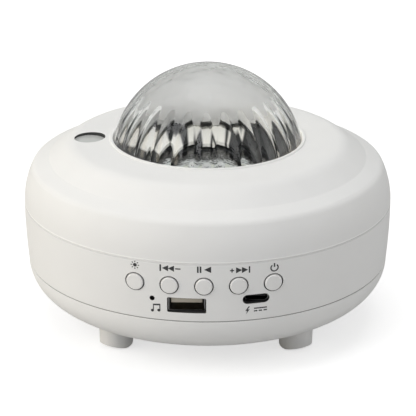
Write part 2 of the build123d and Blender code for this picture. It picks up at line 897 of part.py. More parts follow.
# USB-C socket: rounded steel shell and its thin tongue
usb_c_mouth = mouth_face(usb_c_point, usb_c_shell_size[0])
usb_c_inner = (usb_c_shell_size[0] - 2 * socket_wall, usb_c_shell_size[1] - 2 * socket_wall)
usb_c_block_face = usb_c_mouth - usb_c_tongue_reach - tongue_setback
with BuildPart() as usb_c_shell:
    with BuildSketch(front_plane):
        with Locations(usb_c_point):
            SlotOverall(*usb_c_shell_size)
            SlotOverall(*usb_c_inner, mode=Mode.SUBTRACT)
    extrude(amount=usb_c_mouth - board_face)
save(usb_c_shell.part, "usb_c_shell")

with BuildPart() as usb_c_tongue:
    with BuildSketch(front_plane):
        with Locations(usb_c_point):
            SlotOverall(usb_c_inner[0] - 2 * socket_fit, usb_c_inner[1] - 2 * socket_fit)
    extrude(amount=usb_c_block_face - board_face)
    with BuildSketch(Plane.XZ.offset(usb_c_block_face)):
        with Locations(usb_c_point):
            Rectangle(*usb_c_tongue_size)
    extrude(amount=usb_c_tongue_reach)
save(usb_c_tongue.part, "usb_c_tongue")

# Microphone capsule in a rubber boot between the board and the wall
mic_reach = abs(mic_point[0]) + mic_boot_radius
mic_face = sqrt((base_edge_radius - wall) ** 2 - mic_reach**2) - mic_gap
with BuildPart() as mic_boot:
    with BuildSketch(front_plane):
        with Locations(mic_point):
            Circle(mic_boot_radius)
    extrude(amount=board_setback)
    with BuildSketch(Plane.XZ):
        with BuildLine():
            draw_band_section(wall + mic_gap)
        make_face()
    revolve(axis=Axis.Z, mode=Mode.INTERSECT)
    with BuildSketch(Plane.XZ.offset(mic_face - mic_length)):
        with Locations(mic_point):
            Circle(mic_radius + socket_fit)
    extrude(amount=board_setback, mode=Mode.SUBTRACT)
save(mic_boot.part, "mic_boot")

with BuildPart() as microphone:
    with BuildSketch(Plane.XZ.offset(mic_face - mic_length)):
        with Locations(mic_point):
            Circle(mic_radius)
    extrude(amount=mic_length)
save(microphone.part, "microphone")

# Chassis: the plate that carries the lamps, the drive and the laser
sleeve_bore = laser_radius + running_clearance
sleeve_radius = sleeve_bore + laser_sleeve_wall
grating_floor = gear_top - grating_thickness - grating_fit
sleeve_top = grating_floor - grating_gap
laser_top = sleeve_top - laser_stop_thickness
lamp_screw_angles = [90 + 360 / lamp_screw_count * i for i in range(lamp_screw_count)]
lamp_screw_points = polar_points(lamp_screw_circle, lamp_screw_angles)
motor_screw_points = [(-pinion_offset, way * motor_screw_spread) for way in (-1, 1)]

with BuildPart() as chassis:
    with BuildSketch(Plane.XY.offset(chassis_low)):
        Circle(chassis_radius)
        Circle(fin_radius + fin_clearance, mode=Mode.SUBTRACT)
    extrude(amount=chassis_thickness)
    with BuildSketch(Plane.XY.offset(chassis_top)):
        Circle(chassis_radius)
        Circle(chassis_radius - chassis_rim_width, mode=Mode.SUBTRACT)
        with Locations(*chassis_boss_points):
            Circle(chassis_boss_radius + post_clearance, mode=Mode.SUBTRACT)
    extrude(amount=chassis_rim_rise)
    with BuildSketch(Plane.XY.offset(chassis_low - laser_sleeve_drop)):
        with Locations((-laser_offset, 0)):
            Circle(sleeve_radius)
    extrude(amount=sleeve_top - chassis_low + laser_sleeve_drop)
    with BuildSketch(Plane.XY.offset(chassis_top)):
        with Locations((-laser_offset, 0)):
            Circle(sleeve_radius + laser_shoulder)
    extrude(amount=gear_low - thrust_clearance - chassis_top)
    with BuildSketch(Plane.XY.offset(chassis_low)):
        with Locations(*post_points):
            Circle(post_radius + post_clearance)
        with Locations(*chassis_boss_points):
            Circle(chassis_shank_radius + screw_clearance)
        with Locations((-pinion_offset, 0)):
            Circle(motor_hole_radius)
        with Locations(*motor_screw_points):
            Circle(motor_shank_radius + screw_clearance)
        with Locations(*lamp_screw_points):
            Circle(lamp_shank_radius + pilot_clearance)
        with Locations((0, -lamp_lead_hole)):
            Circle(lead_hole_radius)
    extrude(amount=chassis_thickness, mode=Mode.SUBTRACT)
    with BuildSketch(Plane.XY.offset(laser_top)):
        with Locations((-laser_offset, 0)):
            Circle(sleeve_bore)
    extrude(amount=-plate_height, mode=Mode.SUBTRACT)
    with BuildSketch(Plane.XY.offset(laser_top)):
        with Locations((-laser_offset, 0)):
            Circle(beam_radius)
    extrude(amount=plate_height, mode=Mode.SUBTRACT)
save(chassis.part, "chassis")

chassis_screws = screw_group(
    Plane.XY.offset(chassis_low).rotated((180, 0, 0)),
    [(x, -y) for x, y in chassis_boss_points],
    (chassis_head_radius, chassis_head_height),
    (chassis_shank_radius, chassis_shank_length),
)
save(chassis_screws, "chassis_screws")

# Light engine: finned heat sink, lamp board and lamps
with BuildPart() as heat_sink:
    with BuildSketch(Plane.XY.offset(chassis_top)):
        Circle(heat_plate_radius)
    extrude(amount=heat_plate_thickness)
    with BuildSketch(Plane.XY.offset(chassis_top)):
        with GridLocations(fin_pitch, 0, fin_count, 1):
            Rectangle(fin_thickness, 2 * fin_radius)
        Circle(fin_radius, mode=Mode.INTERSECT)
    extrude(amount=-fin_depth)
    with BuildSketch(Plane.XY.offset(chassis_top)):
        Circle(lens_shaft_radius + press_clearance)
        with Locations(*lamp_screw_points):
            Circle(lamp_shank_radius + screw_clearance)
    extrude(amount=heat_plate_thickness, mode=Mode.SUBTRACT)
save(heat_sink.part, "heat_sink")

with BuildPart() as lamp_board:
    with BuildSketch(Plane.XY.offset(heat_top)):
        Circle(lamp_board_radius)
        Circle(lens_shaft_radius + screw_clearance, mode=Mode.SUBTRACT)
        with Locations(*lamp_screw_points):
            Circle(lamp_shank_radius + screw_clearance, mode=Mode.SUBTRACT)
    extrude(amount=lamp_board_thickness)
save(lamp_board.part, "lamp_board")

lamp_screws = screw_group(
    Plane.XY.offset(lamp_board_top),
    lamp_screw_points,
    (lamp_head_radius, lamp_head_height),
    (lamp_shank_radius, lamp_shank_length),
)
save(lamp_screws, "lamp_screws")

with BuildPart() as lamps:
    with BuildSketch(Plane.XY.offset(lamp_board_top)):
        with PolarLocations(lamp_circle, lamp_count):
            Rectangle(lamp_size, lamp_size)
    extrude(amount=lamp_height / 2)
    with BuildSketch(Plane.XY.offset(lamp_board_top + lamp_height / 2)):
        with PolarLocations(lamp_circle, lamp_count):
            Circle(lamp_cap_radius)
    extrude(amount=lamp_height / 2)
save(lamps.part, "lamps")

# Ripple lens in its gear ring, turning on a shouldered shaft under a clip
lens_low = gear_low + lens_seat_thickness
lens_top = lens_low + lens_thickness
hub_low = gear_low - lens_hub_drop
lens_ring_bore = lens_pitch_radius - dedendum_share * gear_module - lens_rim_width
clip_low = lens_top + thrust_clearance

with BuildPart() as lens_shaft:
    with BuildSketch(Plane.XY.offset(chassis_top)):
        Circle(lens_shaft_radius)
    extrude(amount=clip_low + clip_thickness + shaft_nose - chassis_top)
    with BuildSketch(Plane.XY.offset(lamp_board_top)):
        Circle(lens_collar_radius)
    extrude(amount=hub_low - thrust_clearance - lamp_board_top)
save(lens_shaft.part, "lens_shaft")

with BuildPart() as ripple_lens:
    with BuildSketch(Plane.XY.offset(lens_low)):
        Circle(lens_ring_bore - lens_fit)
    extrude(amount=lens_thickness)
    with BuildSketch(Plane.XY.offset(hub_low)):
        Circle(lens_hub_radius)
    extrude(amount=lens_low - hub_low)
    with BuildSketch(Plane.XY.offset(hub_low)):
        Circle(lens_shaft_radius + running_clearance)
    extrude(amount=lens_top - hub_low, mode=Mode.SUBTRACT)
save(ripple_lens.part, "ripple_lens")

with BuildPart() as lens_gear:
    with BuildSketch(Plane.XY.offset(gear_low)):
        Polygon(*gear_points(lens_teeth, lens_teeth % 2 / 2), align=None)
        Circle(lens_ring_bore, mode=Mode.SUBTRACT)
    extrude(amount=gear_thickness)
    with BuildSketch(Plane.XY.offset(gear_low)):
        Circle(lens_ring_bore)
        Circle(lens_ring_bore - lens_seat_width, mode=Mode.SUBTRACT)
    extrude(amount=lens_seat_thickness)
save(lens_gear.part, "lens_gear")

with BuildPart() as lens_clip:
    with BuildSketch(Plane.XY.offset(clip_low)):
        Circle(clip_radius)
        Circle(lens_shaft_radius + press_clearance, mode=Mode.SUBTRACT)
    extrude(amount=clip_thickness)
save(lens_clip.part, "lens_clip")

# Gear motor under the chassis, its shaft and pinion
gearbox_low = chassis_low - gearbox_size[2]
with BuildPart() as gearbox:
    with BuildSketch(Plane.XY.offset(gearbox_low)):
        with Locations((-pinion_offset, 0)):
            Rectangle(gearbox_size[0], gearbox_size[1])
    extrude(amount=gearbox_size[2])
    with BuildSketch(Plane.XY.offset(chassis_low)):
        with Locations((-pinion_offset, 0)):
            Circle(motor_shaft_radius + running_clearance)
    extrude(amount=-motor_shaft_depth - thrust_clearance, mode=Mode.SUBTRACT)
    with BuildSketch(Plane.XY.offset(chassis_low)):
        with Locations(*motor_screw_points):
            Circle(motor_shank_radius + pilot_clearance)
    extrude(amount=chassis_thickness - motor_shank_length, mode=Mode.SUBTRACT)
save(gearbox.part, "gearbox")

with BuildPart() as motor_can:
    with BuildSketch(Plane.XY.offset(gearbox_low)):
        with Locations((-pinion_offset, 0)):
            Circle(motor_can_radius)
            Rectangle(gearbox_size[0], 2 * motor_can_radius, mode=Mode.INTERSECT)
    extrude(amount=-motor_can_length)
save(motor_can.part, "motor_can")

motor_screws = screw_group(
    Plane.XY.offset(chassis_top),
    motor_screw_points,
    (motor_head_radius, motor_head_height),
    (motor_shank_radius, motor_shank_length),
)
save(motor_screws, "motor_screws")

with BuildPart() as motor_shaft:
    with BuildSketch(Plane.XY.offset(chassis_low - motor_shaft_depth)):
        with Locations((-pinion_offset, 0)):
            Circle(motor_shaft_radius)
    extrude(amount=gear_top + motor_shaft_rise - chassis_low + motor_shaft_depth)
save(motor_shaft.part, "motor_shaft")

with BuildPart() as pinion:
    with BuildSketch(Plane.XY.offset(gear_low)):
        with Locations((-pinion_offset, 0)):
            Polygon(*gear_points(pinion_teeth, 1 / 2), align=None)
    extrude(amount=gear_thickness)
    with BuildSketch(Plane.XY.offset(gear_low)):
        with Locations((-pinion_offset, 0)):
            Circle(pinion_hub_radius)
    extrude(amount=-pinion_hub_drop)
    with BuildSketch(Plane.XY.offset(gear_low - pinion_hub_drop)):
        with Locations((-pinion_offset, 0)):
            Circle(motor_shaft_radius + press_clearance)
    extrude(amount=gear_thickness + pinion_hub_drop, mode=Mode.SUBTRACT)
save(pinion.part, "pinion")

# Star laser: barrel in the chassis sleeve, grating in the gear that turns on the sleeve
with BuildPart() as laser_barrel:
    with BuildSketch(Plane.XY.offset(laser_top - thrust_clearance)):
        with Locations((-laser_offset, 0)):
            Circle(laser_radius)
    extrude(amount=-laser_length)
save(laser_barrel.part, "laser_barrel")

with BuildPart() as grating_gear:
    with BuildSketch(Plane.XY.offset(gear_low)):
        with Locations((-laser_offset, 0)):
            Polygon(*gear_points(grating_teeth, 0), align=None)
            Circle(sleeve_radius + running_clearance, mode=Mode.SUBTRACT)
    extrude(amount=gear_thickness)
    with BuildSketch(Plane.XY.offset(grating_floor)):
        with Locations((-laser_offset, 0)):
            Circle(grating_radius + grating_fit)
    extrude(amount=gear_thickness, mode=Mode.SUBTRACT)
save(grating_gear.part, "grating_gear")

with BuildPart() as grating:
    with BuildSketch(Plane.XY.offset(grating_floor)):
        with Locations((-laser_offset, 0)):
            Circle(grating_radius)
    extrude(amount=grating_thickness)
save(grating.part, "grating")

# Speaker: gasket, basket, magnet, surround and cone, facing down to the slots
with BuildPart() as speaker_gasket:
    with BuildSketch(Plane.XY.offset(base_floor_height)):
        Circle(speaker_radius)
        Circle(speaker_mouth, mode=Mode.SUBTRACT)
        with Locations(*speaker_ear_points):
            Circle(speaker_ear_radius + screw_clearance, mode=Mode.SUBTRACT)
    extrude(amount=speaker_rise - surround_thickness)
save(speaker_gasket.part, "speaker_gasket")

coil_outer = coil_radius + coil_thickness / 2
coil_inner = coil_radius - coil_thickness / 2
with BuildPart() as speaker_basket:
    with BuildSketch(Plane.XZ):
        with BuildLine():
            Polyline(
                (speaker_mouth, speaker_seat),
                (speaker_radius, speaker_seat),
                (speaker_radius, speaker_flange_top),
                (speaker_mouth + basket_skin, speaker_flange_top),
                (basket_top_radius + basket_skin, magnet_low),
                (coil_outer + coil_gap, magnet_low),
                (coil_outer + coil_gap, magnet_low - basket_skin),
                (basket_top_radius, magnet_low - basket_skin),
                (speaker_mouth, speaker_flange_top),
                close=True,
            )
        make_face()
    revolve(axis=Axis.Z)
    with BuildSketch(Plane.XY.offset(speaker_flange_top + basket_window_margin)):
        with PolarLocations(speaker_mouth, speaker_ear_count):
            Rectangle(2 * (speaker_mouth - basket_top_radius), basket_window_width)
    extrude(amount=basket_height - 2 * basket_window_margin - basket_skin, mode=Mode.SUBTRACT)
    with BuildSketch(Plane.XY.offset(speaker_seat)):
        with Locations(*speaker_ear_points):
            Circle(speaker_ear_radius)
        Circle(speaker_mouth, mode=Mode.SUBTRACT)
    extrude(amount=speaker_flange_thickness)
    with BuildSketch(Plane.XY.offset(speaker_seat)):
        with Locations(*speaker_ear_points):
            Circle(speaker_shank_radius + screw_clearance)
    extrude(amount=speaker_flange_thickness, mode=Mode.SUBTRACT)
save(speaker_basket.part, "speaker_basket")

speaker_screws = screw_group(
    Plane.XY.offset(speaker_flange_top),
    speaker_ear_points,
    (speaker_head_radius, speaker_head_height),
    (speaker_shank_radius, speaker_shank_length),
)
save(speaker_screws, "speaker_screws")

with BuildPart() as speaker_magnet:
    with BuildSketch(Plane.XY.offset(magnet_low)):
        Circle(magnet_radius)
    extrude(amount=magnet_height)
    with BuildSketch(Plane.XY.offset(magnet_low)):
        Circle(coil_outer + coil_gap)
        Circle(coil_inner - coil_gap, mode=Mode.SUBTRACT)
    extrude(amount=coil_length + coil_gap + overrun, mode=Mode.SUBTRACT)
save(speaker_magnet.part, "speaker_magnet")

surround_low = speaker_seat - surround_thickness
with BuildPart() as speaker_surround:
    with BuildSketch(Plane.XZ):
        with BuildLine():
            roll = CenterArc((roll_radius, surround_low), roll_reach, 0, 180)
            inner_roll = CenterArc((roll_radius, surround_low), roll_reach - roll_thickness, 0, 180)
            Line(roll @ 0, inner_roll @ 0)
            Line(roll @ 1, inner_roll @ 1)
        make_face()
        with Locations((roll_radius + roll_reach - roll_thickness, surround_low)):
            Rectangle(
                surround_rim - roll_radius - roll_reach + roll_thickness,
                surround_thickness,
                align=(Align.MIN, Align.MIN),
            )
    revolve(axis=Axis.Z)
    with BuildSketch(Plane.XY.offset(surround_low)):
        with Locations(*speaker_ear_points):
            Circle(speaker_ear_radius + screw_clearance)
    extrude(amount=surround_thickness, mode=Mode.SUBTRACT)
save(speaker_surround.part, "speaker_surround")

cone_low = speaker_seat + cone_lift
cone_neck = cone_low + cone_height
with BuildPart() as speaker_cone:
    with BuildSketch(Plane.XZ):
        with BuildLine():
            Polyline(
                (coil_outer, cone_neck),
                (cone_radius, cone_low),
                (cone_radius, cone_low + cone_thickness),
                (coil_outer, cone_neck + cone_thickness),
                (coil_outer, magnet_low + coil_length),
                (coil_inner, magnet_low + coil_length),
                (coil_inner, cone_neck + cone_thickness),
            )
            TangentArc(
                (0, cone_neck + cone_thickness - dust_cap_dip),
                (coil_inner, cone_neck + cone_thickness),
                tangent=(1, 0),
            )
            Line((0, cone_neck + cone_thickness - dust_cap_dip), (0, cone_neck - dust_cap_dip))
            TangentArc((0, cone_neck - dust_cap_dip), (coil_outer, cone_neck), tangent=(1, 0))
        make_face()
    revolve(axis=Axis.Z)
save(speaker_cone.part, "speaker_cone")


def lead(points):
    """A round lead along points chosen by hand, with bends as large as its runs allow."""
    corners = [Vector(*point) for point in points]
    radii = []
    for before, corner, after in zip(corners, corners[1:], corners[2:]):
        arriving, leaving = corner - before, after - corner
        half_turn = radians(arriving.get_angle(leaving)) / 2
        radii.append(lead_bend_share * min(arriving.length, leaving.length) / tan(half_turn))
    with BuildPart() as tube:
        with BuildLine() as route:
            FilletPolyline(*corners, radius=radii)
        with BuildSketch(Plane(origin=route.line @ 0, z_dir=route.line % 0)):
            Circle(lead_radius)
        sweep()
    return tube.part


# Leads from the board's sockets to the laser, motor, lamps and speaker
socket_back = board_back - lead_socket_size[2]
starts = {
    name: ((x, -socket_back, z), (x, lead_run - socket_back, z))
    for name, (x, z) in zip(lead_socket_names, lead_socket_points)
}
laser_low = laser_top - thrust_clearance - laser_length
motor_low = gearbox_low - motor_can_length
lamp_middle = heat_top + lamp_board_thickness / 2
speaker_end = polar_points((speaker_mouth + basket_skin + speaker_radius) / 2, [speaker_lead_angle])[0]
lead_routes = (
    (
        *starts["laser"],
        *laser_route,
        (-laser_offset, 0, laser_low - laser_lead_dip),
        (-laser_offset, 0, laser_low),
    ),
    (
        *starts["motor"],
        *motor_route,
        (-pinion_offset, 0, motor_low - motor_lead_dip),
        (-pinion_offset, 0, motor_low),
    ),
    (
        *starts["lamp"],
        *lamp_route,
        (0, -lamp_lead_hole, chassis_low),
        (0, -lamp_lead_hole, lamp_middle),
        (0, -lamp_board_radius, lamp_middle),
    ),
    (
        *starts["speaker"],
        *speaker_route,
        (*speaker_end, speaker_flange_top + speaker_lead_rise),
        (*speaker_end, speaker_flange_top),
    ),
)
leads = [lead(points) for points in lead_routes]
with BuildPart() as inner_leads:
    add(leads)
save(inner_leads.part, "inner_leads")
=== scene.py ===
import logging
import math
from dataclasses import dataclass, field, replace
from enum import Enum
from typing import Any, ClassVar, Iterable, Mapping, Protocol, Sequence

import bmesh
import bpy
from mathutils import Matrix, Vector


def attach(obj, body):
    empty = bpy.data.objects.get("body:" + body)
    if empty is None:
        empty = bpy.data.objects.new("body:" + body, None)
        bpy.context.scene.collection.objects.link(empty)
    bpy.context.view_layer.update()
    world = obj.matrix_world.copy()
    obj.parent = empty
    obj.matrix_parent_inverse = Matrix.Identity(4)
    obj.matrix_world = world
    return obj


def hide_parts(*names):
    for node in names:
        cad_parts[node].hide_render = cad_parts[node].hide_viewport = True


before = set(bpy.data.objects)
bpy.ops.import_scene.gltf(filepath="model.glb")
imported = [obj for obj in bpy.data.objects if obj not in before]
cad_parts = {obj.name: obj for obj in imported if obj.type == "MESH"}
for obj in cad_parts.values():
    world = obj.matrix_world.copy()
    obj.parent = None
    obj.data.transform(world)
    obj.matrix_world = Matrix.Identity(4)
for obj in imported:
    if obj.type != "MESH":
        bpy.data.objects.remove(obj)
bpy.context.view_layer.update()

LOG = logging.getLogger("aurora_projector")
MM = 0.001

Colour = tuple[float, float, float]
Range = tuple[float, float]
Point = tuple[float, float]
Spot = tuple[float, float, float]
Outline = list[Point]

WHITE: Colour = (1.0, 1.0, 1.0)
BLACK: Colour = (0.0, 0.0, 0.0)
NOISE_ROUGHNESS = 0.55
# The Mix node's sockets for colours share their names with its other sockets
MIX_FIRST, MIX_SECOND, MIX_RESULT = 6, 7, 2


def shade(colour: Colour, factor: float) -> Colour:
    """A colour made lighter or darker by a factor."""
    return tuple(min(1.0, part * factor) for part in colour)


def opaque(colour: Colour) -> tuple[float, float, float, float]:
    """A colour with its opacity, as sockets take it."""
    return (*colour, 1.0)


class Value:
    """A node socket whose sums are written as Python expressions and become Math nodes."""

    def __init__(self, graph: "Graph", socket: bpy.types.NodeSocket) -> None:
        """Keep the socket and the graph that its sums are added to."""
        self.graph = graph
        self.socket = socket

    def _math(self, operation: str, first: Any, second: Any) -> "Value":
        """One Math node on two values."""
        return self.graph.node("ShaderNodeMath", {"operation": operation}, {0: first, 1: second})

    def __add__(self, other: Any) -> "Value":
        """Sum."""
        return self._math("ADD", self, other)

    __radd__ = __add__

    def __sub__(self, other: Any) -> "Value":
        """Difference."""
        return self._math("SUBTRACT", self, other)

    def __rsub__(self, other: Any) -> "Value":
        """Difference from a number."""
        return self._math("SUBTRACT", other, self)

    def __mul__(self, other: Any) -> "Value":
        """Product."""
        return self._math("MULTIPLY", self, other)

    __rmul__ = __mul__

    def __truediv__(self, other: Any) -> "Value":
        """Quotient."""
        return self._math("DIVIDE", self, other)

    def __rtruediv__(self, other: Any) -> "Value":
        """Quotient of a number by this value."""
        return self._math("DIVIDE", other, self)

    def above(self, level: Any) -> "Value":
        """1 where this value is over the level, 0 elsewhere."""
        return self._math("GREATER_THAN", self, level)

    def most(self, other: Any) -> "Value":
        """The larger of the two."""
        return self._math("MAXIMUM", self, other)

    def size(self) -> "Value":
        """This value without its sign."""
        return self._math("ABSOLUTE", self, 0.0)

    def angle_over(self, across: "Value") -> "Value":
        """The angle in radians whose tangent is this value over another, all the way round."""
        return self._math("ARCTAN2", self, across)

    def spread(self, low: float, high: float, ends: Range = (0.0, 1.0)) -> "Value":
        """This value, stretched between two levels and clamped.

        Args:
            low: what it becomes at the lower end.
            high: what it becomes at the upper end.
            ends: the lower and upper end of the value itself.

        Returns:
            The stretched value.
        """
        sockets = {"From Min": ends[0], "From Max": ends[1], "To Min": low, "To Max": high}
        return self.graph.node("ShaderNodeMapRange", {"clamp": True}, {"Value": self, **sockets})

    def around(self, middle: float, margin: float) -> "Value":
        """This value from 0 to 1, stretched by a margin to both sides of a level."""
        return self.spread(middle - margin, middle + margin)


class Graph:
    """The node tree of one material or of the world."""

    def __init__(self, owner: bpy.types.Material | bpy.types.World) -> None:
        """Start with an empty tree.

        Args:
            owner: the material or world that the tree belongs to.
        """
        self.owner = owner
        owner.use_nodes = True
        self.tree = owner.node_tree
        self.tree.nodes.clear()

    @classmethod
    def of_material(cls, name: str) -> "Graph":
        """The graph of a new material of that name."""
        return cls(bpy.data.materials.new(name))

    def node(
        self, kind: str, settings: Mapping[str, Any], inputs: Mapping[Any, Any], out: Any = 0
    ) -> Value:
        """Add any node.

        Args:
            kind: the node's type name.
            settings: its settings, set first; stops are a colour ramp's (position, colour) pairs.
            inputs: values or links for its sockets, by name or number.
            out: the output to return, by name or number.

        Returns:
            The chosen output.
        """
        made = self.tree.nodes.new(kind)
        for key, setting in settings.items():
            if key == "stops":
                ramp = made.color_ramp
                while len(ramp.elements) < len(setting):
                    ramp.elements.new(1.0)
                for element, (place, colour) in zip(ramp.elements, setting):
                    element.position = place
                    element.color = opaque(colour)
            else:
                setattr(made, key, setting)
        for key, given in inputs.items():
            if isinstance(given, Value):
                self.tree.links.new(given.socket, made.inputs[key])
            else:
                made.inputs[key].default_value = given
        return Value(self, made.outputs[out])

    def place(self) -> Value:
        """The surface point in the part's own frame, in metres."""
        return self.node("ShaderNodeTexCoord", {}, {}, "Object")

    def axis(self, letter: str) -> Value:
        """One coordinate of the surface point, in metres."""
        return self.node("ShaderNodeSeparateXYZ", {}, {0: self.place()}, letter)

    def ray(self, fact: str) -> Value:
        """A fact about the light ray, by the name of its socket."""
        return self.node("ShaderNodeLightPath", {}, {}, fact)

    def noise(
        self, size: float, detail: float = 2.0, stretch: Sequence[float] = (1.0, 1.0, 1.0)
    ) -> Value:
        """Noise with blotches of about the given size.

        Args:
            size: the blotches' size in metres.
            detail: how many finer layers are added.
            stretch: how much the blotches are squeezed along each axis.

        Returns:
            The noise, from 0 to 1.
        """
        where = self.node("ShaderNodeMapping", {}, {"Vector": self.place(), "Scale": stretch})
        layers = {"Scale": 1.0 / size, "Detail": detail, "Roughness": NOISE_ROUGHNESS}
        return self.node("ShaderNodeTexNoise", {}, {"Vector": where, **layers}, "Fac")

    def blend(self, share: Value, first: Any, second: Any) -> Value:
        """A colour between two colours.

        Args:
            share: 0 for the first, 1 for the second.
            first: a colour or a colour socket.
            second: a colour or a colour socket.

        Returns:
            The mixed colour.
        """
        ends = [opaque(end) if isinstance(end, tuple) else end for end in (first, second)]
        sockets = {0: share, MIX_FIRST: ends[0], MIX_SECOND: ends[1]}
        return self.node("ShaderNodeMix", {"data_type": "RGBA"}, sockets, MIX_RESULT)

    def mottle(self, share: Value, colour: Colour, tones: Range) -> Value:
        """A colour that wanders between a darker and a lighter tone of itself.

        Args:
            share: 0 for the darker tone, 1 for the lighter.
            colour: the colour.
            tones: the two tones, as factors on the colour.

        Returns:
            The mottled colour.
        """
        return self.blend(share, shade(colour, tones[0]), shade(colour, tones[1]))

    def bump(self, height: Value, depth: float) -> Value:
        """A surface normal from a height of 0 to 1, over a depth in metres."""
        return self.node("ShaderNodeBump", {}, {"Height": height, "Distance": depth}, "Normal")

    def surface(self, inputs: Mapping[str, Any]) -> Value:
        """A Principled shader with the given sockets."""
        return self.node("ShaderNodeBsdfPrincipled", {}, inputs)

    def either(self, share: Value, first: Value, second: Value) -> Value:
        """A shader between two shaders: 0 for the first, 1 for the second."""
        return self.node("ShaderNodeMixShader", {}, {0: share, 1: first, 2: second})

    def backdrop(self, colour: Any, strength: Any) -> Value:
        """The world's shader, of a colour and a strength."""
        return self.node("ShaderNodeBackground", {}, {"Color": colour, "Strength": strength})

    def finish(self, shader: Value) -> bpy.types.Material | bpy.types.World:
        """Send a shader to the tree's output.

        Args:
            shader: the surface or background shader.

        Returns:
            The finished material or world.
        """
        is_world = isinstance(self.owner, bpy.types.World)
        kind = "ShaderNodeOutputWorld" if is_world else "ShaderNodeOutputMaterial"
        out = self.tree.nodes.new(kind)
        self.tree.links.new(shader.socket, out.inputs["Surface"])
        return self.owner


@dataclass(frozen=True)
class SeamHighlightAndShade:
    """A narrow band at a seam between two shells, in painted light: a painted highlight when pale,
    painted shade when dark. Sizes in millimetres.
    """

    height: float
    half_height: float
    # By default the band is painted shade in the seam's groove.
    colour: Colour = (0.33, 0.33, 0.325)

    def inside(self, graph: Graph) -> Value:
        """1 in the band and 0 off it."""
        return 1 - (graph.axis("Z") / MM - self.height).size().above(self.half_height)


@dataclass(frozen=True)
class UprightBore:
    """The wall of a hole that runs down through the plate, painted dark as shade. Sizes in
    millimetres.
    """

    across: float
    radius: float
    floor: float
    # Painted shade on the hole's wall.
    colour: Colour = (0.05, 0.05, 0.05)

    def inside(self, graph: Graph) -> Value:
        """1 on the hole's own wall and 0 off it.

        Args:
            graph: the material's graph.

        Returns:
            The mask.
        """
        wide, deep = graph.axis("X") / MM - self.across, graph.axis("Y") / MM
        off = (wide * wide + deep * deep).above(self.radius**2)
        return (1 - off) * (graph.axis("Z") / MM).above(self.floor)


@dataclass(frozen=True)
class Mouth:
    """A hole through the front of the band, with rounded corners, whose wall is painted dark as
    shade. Sizes in millimetres.
    """

    across: float
    height: float
    half_width: float
    half_height: float
    corner: float
    margin: float = 0.03
    reach: float = 40.0
    # Painted shade on the hole's wall and a thin margin of the face round it.
    colour: Colour = (0.05, 0.05, 0.05)

    def inside(self, graph: Graph) -> Value:
        """1 on the hole's own wall and 0 off it.

        Args:
            graph: the material's graph.

        Returns:
            The mask.
        """
        straight, upright = self.half_width - self.corner, self.half_height - self.corner
        wide = ((graph.axis("X") / MM - self.across).size() - straight).most(0.0)
        high = ((graph.axis("Z") / MM - self.height).size() - upright).most(0.0)
        off = (wide * wide + high * high).above((self.corner + self.margin) ** 2)
        return (1 - off) * (0 - graph.axis("Y") / MM).above(self.reach)


class Recipe(Protocol):
    """A finish that can be made into a material. Lengths in metres."""

    def material(self) -> bpy.types.Material:
        """The finish as a material."""


@dataclass(frozen=True)
class MouldedPlastic:
    """An opaque moulding with a fine spark-eroded grain, slight clouding, and painted shade and
    painted highlight in bands at its holes and seams.
    """

    name: str
    colour: Colour
    roughness: float = 0.5
    roughness_margin: float = 0.06
    grain: float = 0.00035
    depth: float = 0.000012
    cloud: float = 0.02
    cloud_share: float = 0.65
    tones: Range = (0.97, 1.03)
    index: float = 1.48
    painted_shades_and_highlights: tuple[SeamHighlightAndShade | UprightBore | Mouth, ...] = ()

    def material(self) -> bpy.types.Material:
        """The finish as a material.

        Returns:
            The material.
        """
        graph = Graph.of_material(self.name)
        grain = graph.noise(self.grain)
        cloud = graph.noise(self.cloud, detail=3.0)
        colour = graph.mottle(cloud, self.colour, self.tones)
        # Paint shade on hole walls and seam grooves, and a highlight along a seam edge, over the
        # colour.
        for painted_mark in self.painted_shades_and_highlights:
            colour = graph.blend(painted_mark.inside(graph), colour, painted_mark.colour)
        uneven = self.cloud_share * cloud + (1 - self.cloud_share) * grain
        shader = graph.surface(
            {
                "Base Color": colour,
                "Roughness": uneven.around(self.roughness, self.roughness_margin),
                "Normal": graph.bump(grain, self.depth),
                "IOR": self.index,
            }
        )
        return graph.finish(shader)


@dataclass(frozen=True)
class ClearPlastic:
    """A clear moulding that bends light, with faint flow lines or ripples."""

    name: str
    tint: Colour
    roughness: float = 0.0
    index: float = 1.49
    wave: float = 0.012
    depth: float = 0.00001
    ripple: float = 0.0
    ripple_share: float = 0.5
    tones: Range = (0.985, 1.015)

    def material(self) -> bpy.types.Material:
        """The finish as a material that lets light through to what is behind it.

        Returns:
            The material.
        """
        graph = Graph.of_material(self.name)
        flow = height = graph.noise(self.wave, detail=1.0)
        if self.ripple:
            height = (1 - self.ripple_share) * flow + self.ripple_share * graph.noise(self.ripple)
        clear = graph.surface(
            {
                "Base Color": graph.mottle(flow, self.tint, self.tones),
                "Roughness": self.roughness,
                "IOR": self.index,
                "Transmission Weight": 1.0,
                "Normal": graph.bump(height, self.depth),
            }
        )
        passing = graph.node("ShaderNodeBsdfTransparent", {}, {"Color": opaque(self.tint)})
        return graph.finish(graph.either(graph.ray("Is Shadow Ray"), clear, passing))


@dataclass(frozen=True)
class PearlPlastic:
    """A pale moulding that lets part of the light through."""

    name: str
    colour: Colour
    passing: float = 0.3
    cloud: float = 0.004
    tones: Range = (0.92, 1.05)
    roughness: Range = (0.12, 0.2)
    depth: float = 0.00002

    def material(self) -> bpy.types.Material:
        """The finish as a material.

        Returns:
            The material.
        """
        graph = Graph.of_material(self.name)
        cloud = graph.noise(self.cloud, detail=3.0)
        shader = graph.surface(
            {
                "Base Color": graph.mottle(cloud, self.colour, self.tones),
                "Roughness": cloud.spread(*self.roughness),
                "Transmission Weight": self.passing,
                "Normal": graph.bump(cloud, self.depth),
            }
        )
        return graph.finish(shader)


